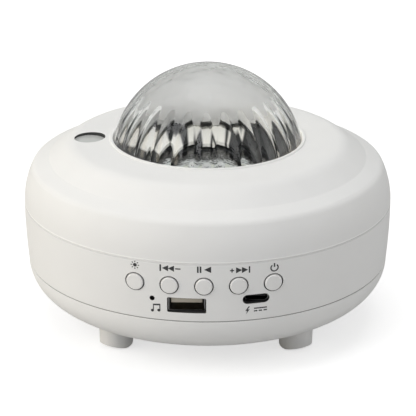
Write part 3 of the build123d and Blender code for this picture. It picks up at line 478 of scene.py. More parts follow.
@dataclass(frozen=True)
class PlatedMetal:
    """Drawn, turned or ground metal with fine lines one way."""

    name: str
    colour: Colour
    roughness: float = 0.3
    lines: tuple[float, float, float] = (1.0, 1.0, 14.0)
    size: float = 0.002
    depth: float = 0.000008
    haze: float = 0.006
    line_share: float = 0.6
    smoother: float = 0.08
    rougher: float = 0.1
    tones: Range = (0.93, 1.05)

    def material(self) -> bpy.types.Material:
        """The finish as a material.

        Returns:
            The material.
        """
        graph = Graph.of_material(self.name)
        lines = graph.noise(self.size, detail=3.0, stretch=self.lines)
        haze = graph.noise(self.haze)
        uneven = self.line_share * lines + (1 - self.line_share) * haze
        low, high = self.roughness - self.smoother, self.roughness + self.rougher
        shader = graph.surface(
            {
                "Base Color": graph.mottle(haze, self.colour, self.tones),
                "Metallic": 1.0,
                "Roughness": uneven.spread(low, high),
                "Normal": graph.bump(lines, self.depth),
            }
        )
        return graph.finish(shader)


@dataclass(frozen=True)
class SectoredPlastic:
    """A dark moulding with painted light: pale sectors about the upright axis that stand in for
    the lit panels seen through the dome's flutes. Angles as shares of a turn.
    """

    name: str
    colour: Colour
    pale: Colour
    painted_light_sectors: tuple[Range, ...]
    edge: float = 0.006
    roughness: float = 0.35
    roughness_margin: float = 0.05
    cloud: float = 0.012
    grain: float = 0.0004
    depth: float = 0.00001
    dark_tones: Range = (0.8, 1.2)
    painted_light_tones: Range = (0.9, 1.06)
    gloss: float = 0.12

    def mask(self, graph: Graph) -> Value:
        """1 in the pale sectors of painted light and 0 off them.

        Args:
            graph: the material's graph.

        Returns:
            The mask.
        """
        turn = graph.axis("Y").angle_over(graph.axis("X")) / (2 * math.pi) + 0.5
        stops: list[tuple[float, Colour]] = [(0.0, BLACK)]
        for start, end in self.painted_light_sectors:
            stops += [(start - self.edge, BLACK), (start + self.edge, WHITE)]
            stops += [(end - self.edge, WHITE), (end + self.edge, BLACK)]
        return graph.node("ShaderNodeValToRGB", {"stops": stops}, {0: turn})

    def material(self) -> bpy.types.Material:
        """The finish as a material.

        Returns:
            The material.
        """
        graph = Graph.of_material(self.name)
        cloud = graph.noise(self.cloud, detail=3.0)
        dark = graph.mottle(cloud, self.colour, self.dark_tones)
        # The pale tone is painted light, where bright panels show through the flutes.
        light = graph.mottle(cloud, self.pale, self.painted_light_tones)
        shader = graph.surface(
            {
                "Base Color": graph.blend(self.mask(graph), dark, light),
                "Roughness": cloud.around(self.roughness, self.roughness_margin),
                "Specular IOR Level": self.gloss,
                "Normal": graph.bump(graph.noise(self.grain), self.depth),
            }
        )
        return graph.finish(shader)


@dataclass(frozen=True)
class SoftRubber:
    """Dull rubber or foam with a powdery bloom."""

    name: str
    colour: Colour
    roughness: float = 0.72
    grain: float = 0.0006
    depth: float = 0.00003
    bloom: float = 0.008
    roughness_margin: float = 0.08
    tones: Range = (0.94, 1.05)

    def material(self) -> bpy.types.Material:
        """The finish as a material.

        Returns:
            The material.
        """
        graph = Graph.of_material(self.name)
        pores = graph.noise(self.grain, detail=3.0)
        bloom = graph.noise(self.bloom)
        shader = graph.surface(
            {
                "Base Color": graph.mottle(bloom, self.colour, self.tones),
                "Roughness": bloom.around(self.roughness, self.roughness_margin),
                "Normal": graph.bump(pores, self.depth),
            }
        )
        return graph.finish(shader)


@dataclass(frozen=True)
class BoardMask:
    """A circuit board under solder mask, with copper tracks that show through."""

    name: str
    mask: Colour
    track: Colour
    cell: float = 0.0021
    scatter: float = 0.75
    track_level: float = 0.62
    mask_tone: float = 0.9
    speck: float = 0.0015
    roughness: Range = (0.28, 0.42)
    depth: float = 0.00003

    def material(self) -> bpy.types.Material:
        """The finish as a material.

        Returns:
            The material.
        """
        graph = Graph.of_material(self.name)
        cells = graph.node(
            "ShaderNodeTexVoronoi",
            {"distance": "MANHATTAN", "feature": "F2"},
            {"Vector": graph.place(), "Scale": 1.0 / self.cell, "Randomness": self.scatter},
            "Distance",
        )
        track = cells.above(self.track_level)
        shader = graph.surface(
            {
                "Base Color": graph.blend(track, shade(self.mask, self.mask_tone), self.track),
                "Roughness": graph.noise(self.speck).spread(*self.roughness),
                "Normal": graph.bump(track, self.depth),
            }
        )
        return graph.finish(shader)


@dataclass(frozen=True)
class PrintedInk:
    """Pad-printed ink, a little uneven."""

    name: str
    colour: Colour
    film: float = 0.0004
    tones: Range = (0.85, 1.2)
    roughness: Range = (0.5, 0.7)
    depth: float = 0.000006

    def material(self) -> bpy.types.Material:
        """The finish as a material.

        Returns:
            The material.
        """
        graph = Graph.of_material(self.name)
        film = graph.noise(self.film)
        shader = graph.surface(
            {
                "Base Color": graph.mottle(film, self.colour, self.tones),
                "Roughness": film.spread(*self.roughness),
                "Normal": graph.bump(film, self.depth),
            }
        )
        return graph.finish(shader)


class Finish(Enum):
    """The finishes of the projector, by the record's material slot."""

    SHELL = "shell"
    BUTTON = "button"
    PLUNGER = "plunger"
    DOME = "dome"
    WINDOW = "window"
    SHROUD = "shroud"
    FOOT = "foot"
    SCREW = "screw"
    BOARD = "board"
    SWITCH = "switch"
    COMPONENT = "component"
    LEAD_SOCKET = "lead_socket"
    SOCKET_STEEL = "socket_steel"
    SOCKET_TONGUE = "socket_tongue"
    SOCKET_TONGUE_C = "socket_tongue_c"
    CONTACT = "contact"
    MIC_BOOT = "mic_boot"
    MIC_CAPSULE = "mic_capsule"
    CHASSIS = "chassis"
    HEAT_SINK = "heat_sink"
    LAMP_BOARD = "lamp_board"
    LAMP = "lamp"
    SHAFT = "shaft"
    GEAR = "gear"
    RIPPLE = "ripple"
    GRATING = "grating"
    GEARBOX = "gearbox"
    MOTOR = "motor"
    LASER = "laser"
    GASKET = "gasket"
    BASKET = "basket"
    MAGNET = "magnet"
    SURROUND = "surround"
    CONE = "cone"
    LEAD = "lead"


RECIPES: dict[Finish, Recipe] = {
    Finish.BUTTON: MouldedPlastic("button_moulding", (0.82, 0.815, 0.8), 0.42, depth=0.000006),
    Finish.PLUNGER: MouldedPlastic("plunger_moulding", (0.03, 0.03, 0.032), 0.45),
    Finish.DOME: ClearPlastic("dome_clear", (0.985, 0.988, 0.985), index=1.4),
    Finish.WINDOW: PearlPlastic("window_pearl", (0.74, 0.75, 0.73)),
    # The shroud's pale sectors are painted light for the bright panels seen through the dome.
    Finish.SHROUD: SectoredPlastic(
        "shroud_black",
        (0.01, 0.01, 0.011),
        (0.8, 0.79, 0.74),
        ((0.69, 0.703), (0.722, 0.785), (0.83, 0.935)),
    ),
    Finish.FOOT: SoftRubber("foot_rubber", (0.8, 0.797, 0.785)),
    Finish.SCREW: PlatedMetal("screw_zinc", (0.56, 0.56, 0.57), 0.34),
    Finish.BOARD: BoardMask("board_green", (0.02, 0.14, 0.06), (0.05, 0.24, 0.1)),
    Finish.SWITCH: MouldedPlastic("switch_black", (0.03, 0.03, 0.033)),
    Finish.COMPONENT: MouldedPlastic("package_black", (0.02, 0.02, 0.022), 0.35),
    Finish.LEAD_SOCKET: MouldedPlastic("nylon_natural", (0.72, 0.7, 0.62), 0.45),
    # Plated steel, darkened to 0.3 to paint shade round the socket mouths.
    Finish.SOCKET_STEEL: PlatedMetal("socket_steel", (0.3, 0.3, 0.3)),
    Finish.SOCKET_TONGUE: MouldedPlastic("tongue_pale", (0.62, 0.57, 0.47)),
    Finish.SOCKET_TONGUE_C: MouldedPlastic("tongue_black", (0.02, 0.02, 0.022), 0.45),
    Finish.CONTACT: PlatedMetal("contact_gold", (0.83, 0.63, 0.28), 0.25),
    Finish.MIC_BOOT: SoftRubber("boot_black", (0.015, 0.015, 0.015)),
    Finish.MIC_CAPSULE: PlatedMetal("capsule_can", (0.6, 0.6, 0.61), 0.32),
    Finish.CHASSIS: MouldedPlastic("chassis_black", (0.02, 0.02, 0.022)),
    Finish.HEAT_SINK: PlatedMetal("heat_sink_metal", (0.66, 0.67, 0.68), 0.38, (14.0, 1.0, 1.0)),
    Finish.LAMP_BOARD: BoardMask(
        "lamp_board_white", (0.75, 0.75, 0.74), (0.82, 0.82, 0.81), cell=0.004
    ),
    Finish.LAMP: MouldedPlastic("lamp_phosphor", (0.78, 0.77, 0.68), 0.25),
    Finish.SHAFT: PlatedMetal("shaft_ground", (0.62, 0.62, 0.63), 0.22, (1.0, 1.0, 20.0)),
    Finish.GEAR: MouldedPlastic("gear_black", (0.025, 0.025, 0.027), 0.4),
    Finish.RIPPLE: ClearPlastic(
        "ripple_clear", (0.9, 0.92, 0.92), wave=0.01, depth=0.0004, ripple=0.004
    ),
    Finish.GRATING: ClearPlastic("grating_clear", (0.8, 0.84, 0.88), wave=0.004),
    Finish.GEARBOX: MouldedPlastic("gearbox_black", (0.05, 0.05, 0.055), 0.45),
    Finish.MOTOR: PlatedMetal("motor_can_steel", (0.6, 0.6, 0.61)),
    Finish.LASER: PlatedMetal("laser_brass", (0.78, 0.58, 0.26), 0.26),
    Finish.GASKET: SoftRubber("gasket_foam", (0.05, 0.05, 0.052), 0.85, 0.0009, 0.00008),
    Finish.BASKET: MouldedPlastic("basket_paint", (0.025, 0.025, 0.027), 0.4),
    Finish.MAGNET: SoftRubber("magnet_ferrite", (0.07, 0.07, 0.075), 0.6),
    Finish.SURROUND: SoftRubber("surround_rubber", (0.018, 0.018, 0.02), 0.55),
    Finish.CONE: SoftRubber("cone_paper", (0.04, 0.04, 0.042), 0.85, 0.0012, 0.0001),
    Finish.LEAD: SoftRubber("lead_sleeve", (0.4, 0.03, 0.03), 0.5),
}


@dataclass
class Workshop:
    """Materials by finish, and the means to dress and make pieces."""

    materials: dict[Finish, bpy.types.Material] = field(default_factory=dict)

    def material(self, finish: Finish) -> bpy.types.Material:
        """The material of a finish, made on first use.

        Args:
            finish: the finish.

        Returns:
            The material.
        """
        if finish not in self.materials:
            self.materials[finish] = RECIPES[finish].material()
        return self.materials[finish]

    def dress(self, node: str, finish: Finish, special: Recipe | None = None) -> None:
        """Give a CAD node a finish.

        Args:
            node: the node's name.
            finish: its finish.
            special: a recipe of the node's own in that finish's place.
        """
        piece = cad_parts[node]
        piece.data.materials.clear()
        piece.data.materials.append(special.material() if special else self.material(finish))
        LOG.info("dressed %s in %s", node, finish.value)

    def dress_all(self, nodes: Mapping[str, Finish]) -> None:
        """Give each named CAD node its finish."""
        for node, finish in nodes.items():
            self.dress(node, finish)

    def add(
        self,
        name: str,
        points: Iterable[Sequence[float]],
        faces: Iterable[Sequence[int]],
        material: bpy.types.Material,
        body: str,
        crease: float = 30.0,
    ) -> bpy.types.Object:
        """Make a piece from points and faces, and let it ride on a body.

        Args:
            name: the piece's name.
            points: its points in metres.
            faces: its faces as point numbers.
            material: its material.
            body: the CAD body it rides on.
            crease: the angle in degrees over which an edge stays sharp.

        Returns:
            The piece.
        """
        mesh = bpy.data.meshes.new(name)
        mesh.from_pydata([tuple(p) for p in points], [], [tuple(f) for f in faces])
        mesh.validate()
        mesh.shade_smooth()
        mesh.set_sharp_from_angle(angle=math.radians(crease))
        mesh.materials.append(material)
        piece = bpy.data.objects.new(name, mesh)
        bpy.context.scene.collection.objects.link(piece)
        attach(piece, body)
        LOG.info("made %s on %s", name, body)
        return piece


@dataclass
class Casing:
    """Top cover, middle shell, base and feet. Sizes in millimetres."""

    shell: MouldedPlastic = MouldedPlastic("white_moulding", (0.83, 0.828, 0.815))
    # Painted highlight along the cover's lower edge; painted shade in the groove below it and at
    # the base seam.
    cover_edge_highlight: SeamHighlightAndShade = SeamHighlightAndShade(48.1, 0.35, (0.98, 0.978, 0.965))
    band_edge_shade: SeamHighlightAndShade = SeamHighlightAndShade(47.5, 0.25, (0.71, 0.708, 0.7))
    base_seam_shade: SeamHighlightAndShade = SeamHighlightAndShade(25.0, 0.16)
    # Painted shade on the window hole's wall.
    window_bore_shade: UprightBore = UprightBore(-44.8, 5.93, 60.0)
    buttons: tuple[float, ...] = (-24.7, -12.35, 0.0, 12.35, 24.7)
    button_height: float = 39.2
    button_hole: float = 3.45
    # Painted shade on the walls of the socket and microphone holes.
    other_mouth_shades: tuple[Mouth, ...] = (
        Mouth(-6.175, 31.5, 6.95, 2.9, 0.5),
        Mouth(18.525, 33.5, 4.75, 1.75, 1.75),
        Mouth(-18.525, 33.5, 0.9, 0.9, 0.9),
    )
    feet: tuple[str, ...] = ("front_left", "front_right", "rear_left", "rear_right")

    def build(self, shop: Workshop) -> None:
        """Dress the casing, with painted shade on the walls of its holes, and painted shade and a
        painted highlight at its seams.

        Args:
            shop: where pieces are dressed.
        """
        hole = self.button_hole
        # Painted shade on the walls of the button holes.
        button_hole_shades = [Mouth(across, self.button_height, hole, hole, hole) for across in self.buttons]
        shells = {
            "top_cover": (self.cover_edge_highlight, self.window_bore_shade),
            "middle_shell": (self.band_edge_shade, self.base_seam_shade, *button_hole_shades, *self.other_mouth_shades),
            "base": (self.base_seam_shade,),
        }
        for node, painted_shades_and_highlights in shells.items():
            shell = replace(self.shell, name=f"{node}_moulding", painted_shades_and_highlights=painted_shades_and_highlights)
            shop.dress(node, Finish.SHELL, shell)
        for foot in self.feet:
            shop.dress(f"foot_{foot}", Finish.FOOT)
        shop.dress("case_screws", Finish.SCREW)


@dataclass
class DomeOptics:
    """The clear dome with its inner flutes, and what is seen through it. Sizes in millimetres."""

    radius: float = 36.5
    wall: float = 3.0
    crown_wall: float = 1.2
    centre: float = 63.0
    flange_radius: float = 40.5
    flange_thickness: float = 2.5
    flutes: int = 24
    flute_radius: float = 8.5
    flute_reach: float = 34.8
    steps_per_flute: int = 16
    steps_up: int = 90
    halvings: int = 40
    frost_climb: float = 38.0
    frost: ClearPlastic = ClearPlastic(
        "dome_frosted", (0.985, 0.988, 0.985), 0.4, 1.4, 0.007, 0.0006
    )
    nodes: ClassVar[dict[str, Finish]] = {
        "star_window": Finish.WINDOW,
        "light_shroud": Finish.SHROUD,
        "shroud_screws": Finish.SCREW,
        "ripple_lens": Finish.RIPPLE,
        "lens_gear": Finish.GEAR,
        "lens_shaft": Finish.SHAFT,
        "lens_clip": Finish.SHAFT,
        "lamp_board": Finish.LAMP_BOARD,
        "lamps": Finish.LAMP,
        "lamp_screws": Finish.SCREW,
        "heat_sink": Finish.HEAT_SINK,
        "chassis": Finish.CHASSIS,
        "chassis_screws": Finish.SCREW,
    }

    def inner_wall(self, climb: float) -> float:
        """How far the inner wall between the flutes is from the dome's centre.

        Args:
            climb: angle above the dome's foot, in radians.

        Returns:
            The distance in millimetres.
        """
        foot, crown = self.radius - self.wall, self.radius - self.crown_wall
        lift = (crown**2 - foot**2) / (2 * crown)
        sphere = math.sqrt((crown - lift) ** 2 - (lift * math.cos(climb)) ** 2)
        return lift * math.sin(climb) + sphere

    def past_flute(self, reach: float, turn: float, climb: float) -> bool:
        """Whether a point is at or past a flute's wall.

        Args:
            reach: distance from the dome's centre, in millimetres.
            turn: angle from the flute's middle, in radians.
            climb: angle above the dome's foot, in radians.

        Returns:
            True where it is.
        """
        ahead = reach * math.cos(climb) * math.cos(turn)
        aside = reach * math.cos(climb) * math.sin(turn)
        ring = self.flute_reach - self.flute_radius
        across = math.hypot(ahead, reach * math.sin(climb)) - ring
        return across * across + aside * aside >= self.flute_radius**2

    def inner_reach(self, turn: float, climb: float) -> float:
        """How far the inner wall is from the dome's centre.

        Args:
            turn: angle from the nearest flute's middle, in radians.
            climb: angle above the dome's foot, in radians.

        Returns:
            The distance in millimetres.
        """
        low, high = self.inner_wall(climb), self.radius
        if self.past_flute(low, turn, climb):
            return low
        for _ in range(self.halvings):
            middle = (low + high) / 2
            if self.past_flute(middle, turn, climb):
                high = middle
            else:
                low = middle
        return low

    def build_dome(self, shop: Workshop) -> None:
        """Make the dome with a smooth outside and a finely divided fluted inside.

        Args:
            shop: where pieces are made.
        """
        around = self.flutes * self.steps_per_flute
        turns = [2 * math.pi * i / around for i in range(around)]
        pitch = 2 * math.pi / self.flutes
        asides = [(turn + pitch / 2) % pitch - pitch / 2 for turn in turns]
        rings: list[list[Spot]] = []
        frosty: list[list[bool]] = []

        def ring(profile: Iterable[Point]) -> None:
            """Add one ring of points from (radius, height) pairs in millimetres."""
            spots = ((r * math.cos(t), r * math.sin(t), z) for t, (r, z) in zip(turns, profile))
            rings.append([(x * MM, y * MM, z * MM) for x, y, z in spots])

        # The inside from the crown down, the flange, and the outside from the flange up
        for i in reversed(range(self.steps_up)):
            climb = math.pi / 2 * i / self.steps_up
            smooth = self.inner_wall(climb)
            reaches = [self.inner_reach(aside, climb) for aside in asides]
            in_cap = climb > math.radians(self.frost_climb)
            frosty.append([in_cap and reach <= smooth for reach in reaches])
            ring((r * math.cos(climb), self.centre + r * math.sin(climb)) for r in reaches)
        ring((self.flange_radius, self.centre) for _ in turns)
        ring((self.flange_radius, self.centre + self.flange_thickness) for _ in turns)
        foot = math.asin(self.flange_thickness / self.radius)
        for i in range(self.steps_up):
            climb = foot + (math.pi / 2 - foot) * i / self.steps_up
            outer = (self.radius * math.cos(climb), self.centre + self.radius * math.sin(climb))
            ring(outer for _ in turns)

        # Four-sided faces between the rings; the smooth ones of the inner cap are frosted
        faces: list[tuple[int, ...]] = []
        frosted: list[int] = []
        sides = [(i, (i + 1) % around) for i in range(around)]
        for row in range(len(rings) - 1):
            here, there = row * around, (row + 1) * around
            edges = frosty[row : row + 2]
            for i, j in sides:
                if len(edges) == 2 and all(edge[i] and edge[j] for edge in edges):
                    frosted.append(len(faces))
                faces.append((here + i, here + j, there + j, there + i))
        # Both crowns close in a fan
        points = [point for row in rings for point in row]
        inner_top, outer_top = len(points), len(points) + 1
        points.append((0.0, 0.0, (self.centre + self.radius - self.crown_wall) * MM))
        points.append((0.0, 0.0, (self.centre + self.radius) * MM))
        last = (len(rings) - 1) * around
        for i, j in sides:
            frosted.append(len(faces))
            faces.append((i, inner_top, j))
            faces.append((last + i, last + j, outer_top))

        dome = shop.add("fluted_dome", points, faces, shop.material(Finish.DOME), "housing")
        dome.data.materials.append(self.frost.material())
        for index in frosted:
            dome.data.polygons[index].material_index = 1
        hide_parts("dome_lens")

    def build(self, shop: Workshop) -> None:
        """Make the dome and dress the optics under it."""
        self.build_dome(shop)
        shop.dress_all(self.nodes)


@dataclass
class DriveTrain:
    """Gear motor, pinion and the star laser with its turning grating."""

    nodes: ClassVar[dict[str, Finish]] = {
        "gearbox": Finish.GEARBOX,
        "motor_can": Finish.MOTOR,
        "motor_screws": Finish.SCREW,
        "motor_shaft": Finish.SHAFT,
        "pinion": Finish.GEAR,
        "laser_barrel": Finish.LASER,
        "grating_gear": Finish.GEAR,
        "grating": Finish.GRATING,
    }

    def build(self, shop: Workshop) -> None:
        """Dress the drive train."""
        shop.dress_all(self.nodes)


@dataclass
class SpeakerUnit:
    """The speaker that faces down through the base."""

    nodes: ClassVar[dict[str, Finish]] = {
        "speaker_gasket": Finish.GASKET,
        "speaker_basket": Finish.BASKET,
        "speaker_magnet": Finish.MAGNET,
        "speaker_surround": Finish.SURROUND,
        "speaker_cone": Finish.CONE,
        "speaker_screws": Finish.SCREW,
    }

    def build(self, shop: Workshop) -> None:
        """Dress the speaker."""
        shop.dress_all(self.nodes)


def bar(left: float, right: float, low: float, high: float) -> Outline:
    """An upright rectangle."""
    return [(left, low), (right, low), (right, high), (left, high)]


def wedge(tip: float, back: float, half: float) -> Outline:
    """A triangle that points along the row."""
    return [(tip, 0.0), (back, -half), (back, half)]


def disc(across: float, height: float, radius: float, corners: int = 28) -> Outline:
    """A filled circle, drawn with that many corners."""
    turns = [2 * math.pi * i / corners for i in range(corners)]
    return [(across + radius * math.cos(t), height + radius * math.sin(t)) for t in turns]


def spoke(angle: float, inner: float, outer: float, width: float) -> Outline:
    """A short bar that points away from the middle.

    Args:
        angle: its direction in degrees.
        inner: where it starts, from the middle.
        outer: where it ends, from the middle.
        width: its width.

    Returns:
        The outline.
    """
    cos, sin = math.cos(math.radians(angle)), math.sin(math.radians(angle))
    upright = bar(inner, outer, -width / 2, width / 2)
    return [(cos * x - sin * y, sin * x + cos * y) for x, y in upright]


def arc_band(height: float, inner: float, outer: float, ends: Range, steps: int = 40) -> Outline:
    """Part of a ring, above or below the sign's middle.

    Args:
        height: its centre's height over the sign's middle.
        inner: its inner radius.
        outer: its outer radius.
        ends: the angles in degrees between which it runs.
        steps: how many straight pieces make up each side.

    Returns:
        The outline.
    """
    start, end = ends
    turns = [math.radians(start + (end - start) * i / steps) for i in range(steps + 1)]
    outside = [(outer * math.cos(t), height + outer * math.sin(t)) for t in turns]
    inside = [(inner * math.cos(t), height + inner * math.sin(t)) for t in reversed(turns)]
    return outside + inside


class Sign(Enum):
    """The printed signs: name, and the middle's place across and over the table in millimetres."""

    LIGHT = ("sign_light", -24.6, 45.6)
    PREVIOUS = ("sign_previous", -12.0, 45.7)
    PLAY = ("sign_play", 0.05, 45.7)
    NEXT = ("sign_next", 12.4, 45.2)
    POWER = ("sign_power", 25.0, 44.95)
    MUSIC = ("sign_music", -17.2, 29.7)
    SUPPLY = ("sign_supply", 18.6, 29.2)

    def outlines(self) -> list[Outline]:
        """The sign's shapes.

        Returns:
            Closed outlines, in millimetres from the sign's middle.
        """
        return {
            Sign.LIGHT: [disc(0, 0, 0.62)] + [spoke(45 * i, 0.92, 1.42, 0.3) for i in range(8)],
            Sign.PREVIOUS: [
                bar(-3.4, -2.9, -1.15, 1.15),
                wedge(-2.6, -0.6, 1.05),
                wedge(-0.7, 1.3, 1.05),
                bar(1.7, 3.4, -0.22, 0.22),
            ],
            Sign.PLAY: [
                bar(-2.25, -1.72, -1.1, 1.1),
                bar(-1.38, -0.85, -1.1, 1.1),
                wedge(0.0, 2.3, 1.1),
            ],
            Sign.NEXT: [
                bar(-2.9, -1.55, -0.2, 0.2),
                bar(-2.42, -2.03, 0.2, 0.68),
                bar(-2.42, -2.03, -0.68, -0.2),
                wedge(1.05, -0.95, 1.05),
                wedge(2.95, 0.95, 1.05),
                bar(3.15, 3.6, -1.15, 1.15),
            ],
            Sign.POWER: [arc_band(-0.1, 0.95, 1.38, (128, 412)), bar(-0.23, 0.23, 0.15, 1.5)],
            Sign.MUSIC: [
                disc(-1.15, -1.0, 0.5),
                disc(0.95, -0.75, 0.5),
                bar(-0.95, -0.65, -1.0, 0.85),
                bar(1.15, 1.45, -0.75, 1.1),
                [(-0.95, 0.85), (1.45, 1.1), (1.45, 1.65), (-0.95, 1.4)],
            ],
            Sign.SUPPLY: [
                [(-2.5, 1.35), (-3.5, -0.2), (-2.95, -0.2), (-3.2, -1.35)]
                + [(-2.1, 0.3), (-2.7, 0.3), (-2.0, 1.35)],
                bar(-0.7, 3.5, 0.25, 0.7),
                bar(-0.7, 0.4, -0.7, -0.25),
                bar(0.85, 1.95, -0.7, -0.25),
                bar(2.4, 3.5, -0.7, -0.25),
            ],
        }[self]


@dataclass
class FrontControls:
    """Buttons, sockets, microphone and the printed signs. Sizes in millimetres."""

    names: tuple[str, ...] = ("light", "previous", "play", "next", "power")
    band_radius: float = 70.0
    band_top: float = 47.8
    band_curve: float = 236.84
    lift: float = 0.012
    slice_width: float = 0.25
    cut_tolerance: float = 0.00001
    ink: PrintedInk = PrintedInk("sign_ink", (0.04, 0.041, 0.043))
    sign_scale: float = 1.1
    nodes: ClassVar[dict[str, Finish]] = {
        "control_board": Finish.BOARD,
        "board_screws": Finish.SCREW,
        "switch_bodies": Finish.SWITCH,
        "board_components": Finish.COMPONENT,
        "lead_sockets": Finish.LEAD_SOCKET,
        "inner_leads": Finish.LEAD,
        "usb_a_shell": Finish.SOCKET_STEEL,
        "usb_a_tongue": Finish.SOCKET_TONGUE,
        "usb_a_contacts": Finish.CONTACT,
        "usb_c_shell": Finish.SOCKET_STEEL,
        "usb_c_tongue": Finish.SOCKET_TONGUE_C,
        "mic_boot": Finish.MIC_BOOT,
        "microphone": Finish.MIC_CAPSULE,
    }

    def on_band(self, across: float, height: float) -> Vector:
        """A point just off the front of the drum's band.

        Args:
            across: distance to the right of the middle, in millimetres.
            height: height over the table, in millimetres.

        Returns:
            The point in metres.
        """
        drop = self.band_top - height
        bulge = math.sqrt(self.band_curve**2 - drop**2) - self.band_curve
        radius = self.band_radius + bulge + self.lift
        return Vector((across, -math.sqrt(radius**2 - across**2), height)) * MM

    def print_sign(self, shop: Workshop, sign: Sign, ink: bpy.types.Material) -> None:
        """Print a sign on the band as a thin skin that follows its curve.

        Args:
            shop: where pieces are made.
            sign: the sign.
            ink: the ink.
        """
        name, across, height = sign.value
        work = bmesh.new()
        for outline in sign.outlines():
            corners = [(x * self.sign_scale, z * self.sign_scale, 0.0) for x, z in outline]
            work.faces.new([work.verts.new(corner) for corner in corners])
        work.normal_update()
        bmesh.ops.triangulate(work, faces=work.faces[:])
        cut = min(v.co.x for v in work.verts) + self.slice_width
        end = max(v.co.x for v in work.verts)
        while cut < end:
            bmesh.ops.bisect_plane(
                work,
                geom=work.verts[:] + work.edges[:] + work.faces[:],
                plane_co=(cut, 0, 0),
                plane_no=(1, 0, 0),
                dist=self.cut_tolerance,
            )
            cut += self.slice_width
        work.verts.index_update()
        points = [self.on_band(across + v.co.x, height + v.co.y) for v in work.verts]
        faces = [[v.index for v in face.verts] for face in work.faces]
        work.free()
        shop.add(name, points, faces, ink, "housing")

    def build(self, shop: Workshop) -> None:
        """Dress the controls and print their signs.

        Args:
            shop: where pieces are made and dressed.
        """
        for name in self.names:
            shop.dress(f"button_{name}", Finish.BUTTON)
            shop.dress(f"plunger_{name}", Finish.PLUNGER)
        shop.dress_all(self.nodes)
        ink = self.ink.material()
        for sign in Sign:
            self.print_sign(shop, sign, ink)


@dataclass(frozen=True)
class Lamp:
    """A soft square lamp that points at the object. Lengths in metres, power in watts."""

    name: str
    place: Spot
    size: float
    power: float
    colour: Colour = WHITE
    aim: Spot = (0.0, 0.0, 0.05)

    def build(self) -> None:
        """Hang the lamp, unseen in gloss."""
        data = bpy.data.lights.new(self.name, "AREA")
        data.shape = "SQUARE"
        data.size = self.size
        data.energy = self.power
        data.color = self.colour
        lamp = bpy.data.objects.new(self.name, data)
        lamp.location = self.place
        lamp.rotation_mode = "QUATERNION"
        way = Vector(self.aim) - Vector(self.place)
        lamp.rotation_quaternion = way.to_track_quat("-Z", "Y")
        lamp.visible_glossy = False
        bpy.context.scene.collection.objects.link(lamp)


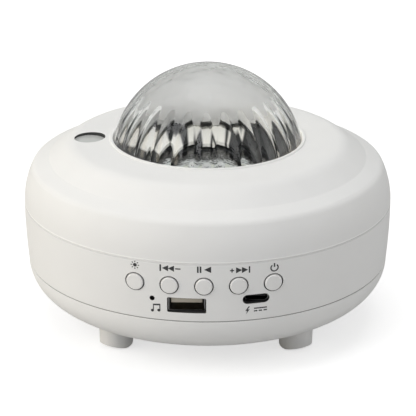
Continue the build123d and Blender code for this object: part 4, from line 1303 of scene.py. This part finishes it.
@dataclass
class Studio:
    """Floor, light and camera. Lengths in metres, angles in degrees."""

    elevation: float = 20.92
    azimuth: float = 1.08
    distance: float = 0.8
    aim: Spot = (0.00015, 0.0, 0.04232)
    lens: float = 179.84
    sensor: float = 36.0
    ambient: float = 0.34
    room_wall: Colour = (0.4, 0.415, 0.4)
    room_tones: Range = (0.93, 1.07)
    room_scale: float = 9.0
    room_front: float = 0.1
    room_fade: Range = (-0.6, 0.3)
    gloss_share: float = 1.5
    floor_colour: Colour = (0.62, 0.62, 0.62)
    floor_tones: Range = (0.99, 1.01)
    floor_speck: float = 0.05
    floor_glow: float = 0.62
    floor_reach: float = 4.0
    lamps: tuple[Lamp, ...] = (
        Lamp("key_lamp", (-0.9, -0.7, 0.8), 0.8, 6.6, (0.97, 0.98, 1.0)),
        Lamp("left_lamp", (-1.1, -0.2, 0.25), 0.6, 3.5, (1.0, 0.88, 0.66)),
        Lamp("top_lamp", (0.0, 0.0, 1.2), 0.9, 5.1),
        Lamp("right_lamp", (1.1, -0.4, 0.5), 0.8, 2.3),
        Lamp("rear_lamp", (0.0, 0.9, 0.9), 0.8, 0.6),
    )

    def build_camera(self) -> None:
        """Place the camera at the photograph's angle."""
        turn, climb = math.radians(self.azimuth), math.radians(self.elevation)
        level = math.cos(climb)
        back = Vector((math.sin(turn) * level, -math.cos(turn) * level, math.sin(climb)))
        data = bpy.data.cameras.new("camera")
        data.lens = self.lens
        data.sensor_width = self.sensor
        camera = bpy.data.objects.new("camera", data)
        camera.location = Vector(self.aim) + back * self.distance
        camera.rotation_mode = "QUATERNION"
        camera.rotation_quaternion = (-back).to_track_quat("-Z", "Y")
        bpy.context.scene.collection.objects.link(camera)
        bpy.context.scene.camera = camera

    def build_world(self) -> None:
        """Even light, a white ground for the camera, and a grey room seen in and through gloss."""
        world = bpy.data.worlds.new("studio")
        bpy.context.scene.world = world
        graph = Graph(world)
        way = graph.node("ShaderNodeTexCoord", {}, {}, "Generated")
        blotches = {"Vector": way, "Scale": self.room_scale, "Detail": 2.0}
        blotch = graph.node("ShaderNodeTexNoise", {}, blotches, "Fac")
        room = graph.mottle(blotch, self.room_wall, self.room_tones)
        depth = graph.node("ShaderNodeSeparateXYZ", {}, {0: way}, "Y")
        level = depth.spread(self.room_front, 1.0, self.room_fade)
        through, gloss = graph.ray("Is Transmission Ray"), graph.ray("Is Glossy Ray")
        # A ray that has met a dull surface gets the even light, whatever it passed since
        scattered = graph.ray("Diffuse Depth").above(0.5)
        even = graph.backdrop(opaque(WHITE), self.ambient)
        seen = graph.backdrop(room, level * (through + gloss * self.gloss_share))
        lit = graph.either(through.most(gloss) * (1 - scattered), even, seen)
        white = graph.backdrop(opaque(WHITE), 1.0)
        graph.finish(graph.either(graph.ray("Is Camera Ray"), lit, white))

    def build_floor(self) -> None:
        """A pale floor that keeps the shadow, runs out into white and is clear from below."""
        graph = Graph.of_material("studio_floor")
        colour = graph.mottle(graph.noise(self.floor_speck), self.floor_colour, self.floor_tones)
        lit = graph.node("ShaderNodeBsdfDiffuse", {}, {"Color": colour})
        glow = graph.node(
            "ShaderNodeEmission", {}, {"Color": opaque(WHITE), "Strength": self.floor_glow}
        )
        both = graph.node("ShaderNodeAddShader", {}, {0: lit, 1: glow})
        upper = graph.either(graph.ray("Is Camera Ray"), lit, both)
        under = graph.node("ShaderNodeNewGeometry", {}, {}, "Backfacing")
        gone = graph.node("ShaderNodeBsdfTransparent", {}, {})
        material = graph.finish(graph.either(under, upper, gone))
        mesh = bpy.data.meshes.new("floor")
        far = self.floor_reach
        mesh.from_pydata(
            [(-far, -far, 0), (far, -far, 0), (far, far, 0), (-far, far, 0)], [], [(0, 1, 2, 3)]
        )
        mesh.materials.append(material)
        floor = bpy.data.objects.new("floor", mesh)
        bpy.context.scene.collection.objects.link(floor)

    def build(self) -> None:
        """Set up the studio."""
        bpy.context.scene.view_settings.view_transform = "Standard"
        self.build_world()
        self.build_floor()
        for lamp in self.lamps:
            lamp.build()
        self.build_camera()


def main() -> None:
    """Build every sub-assembly in order, then the studio."""
    logging.basicConfig(level=logging.INFO)
    shop = Workshop()
    Casing().build(shop)
    DomeOptics().build(shop)
    DriveTrain().build(shop)
    SpeakerUnit().build(shop)
    FrontControls().build(shop)
    Studio().build()


if __name__ == "__main__":
    main()
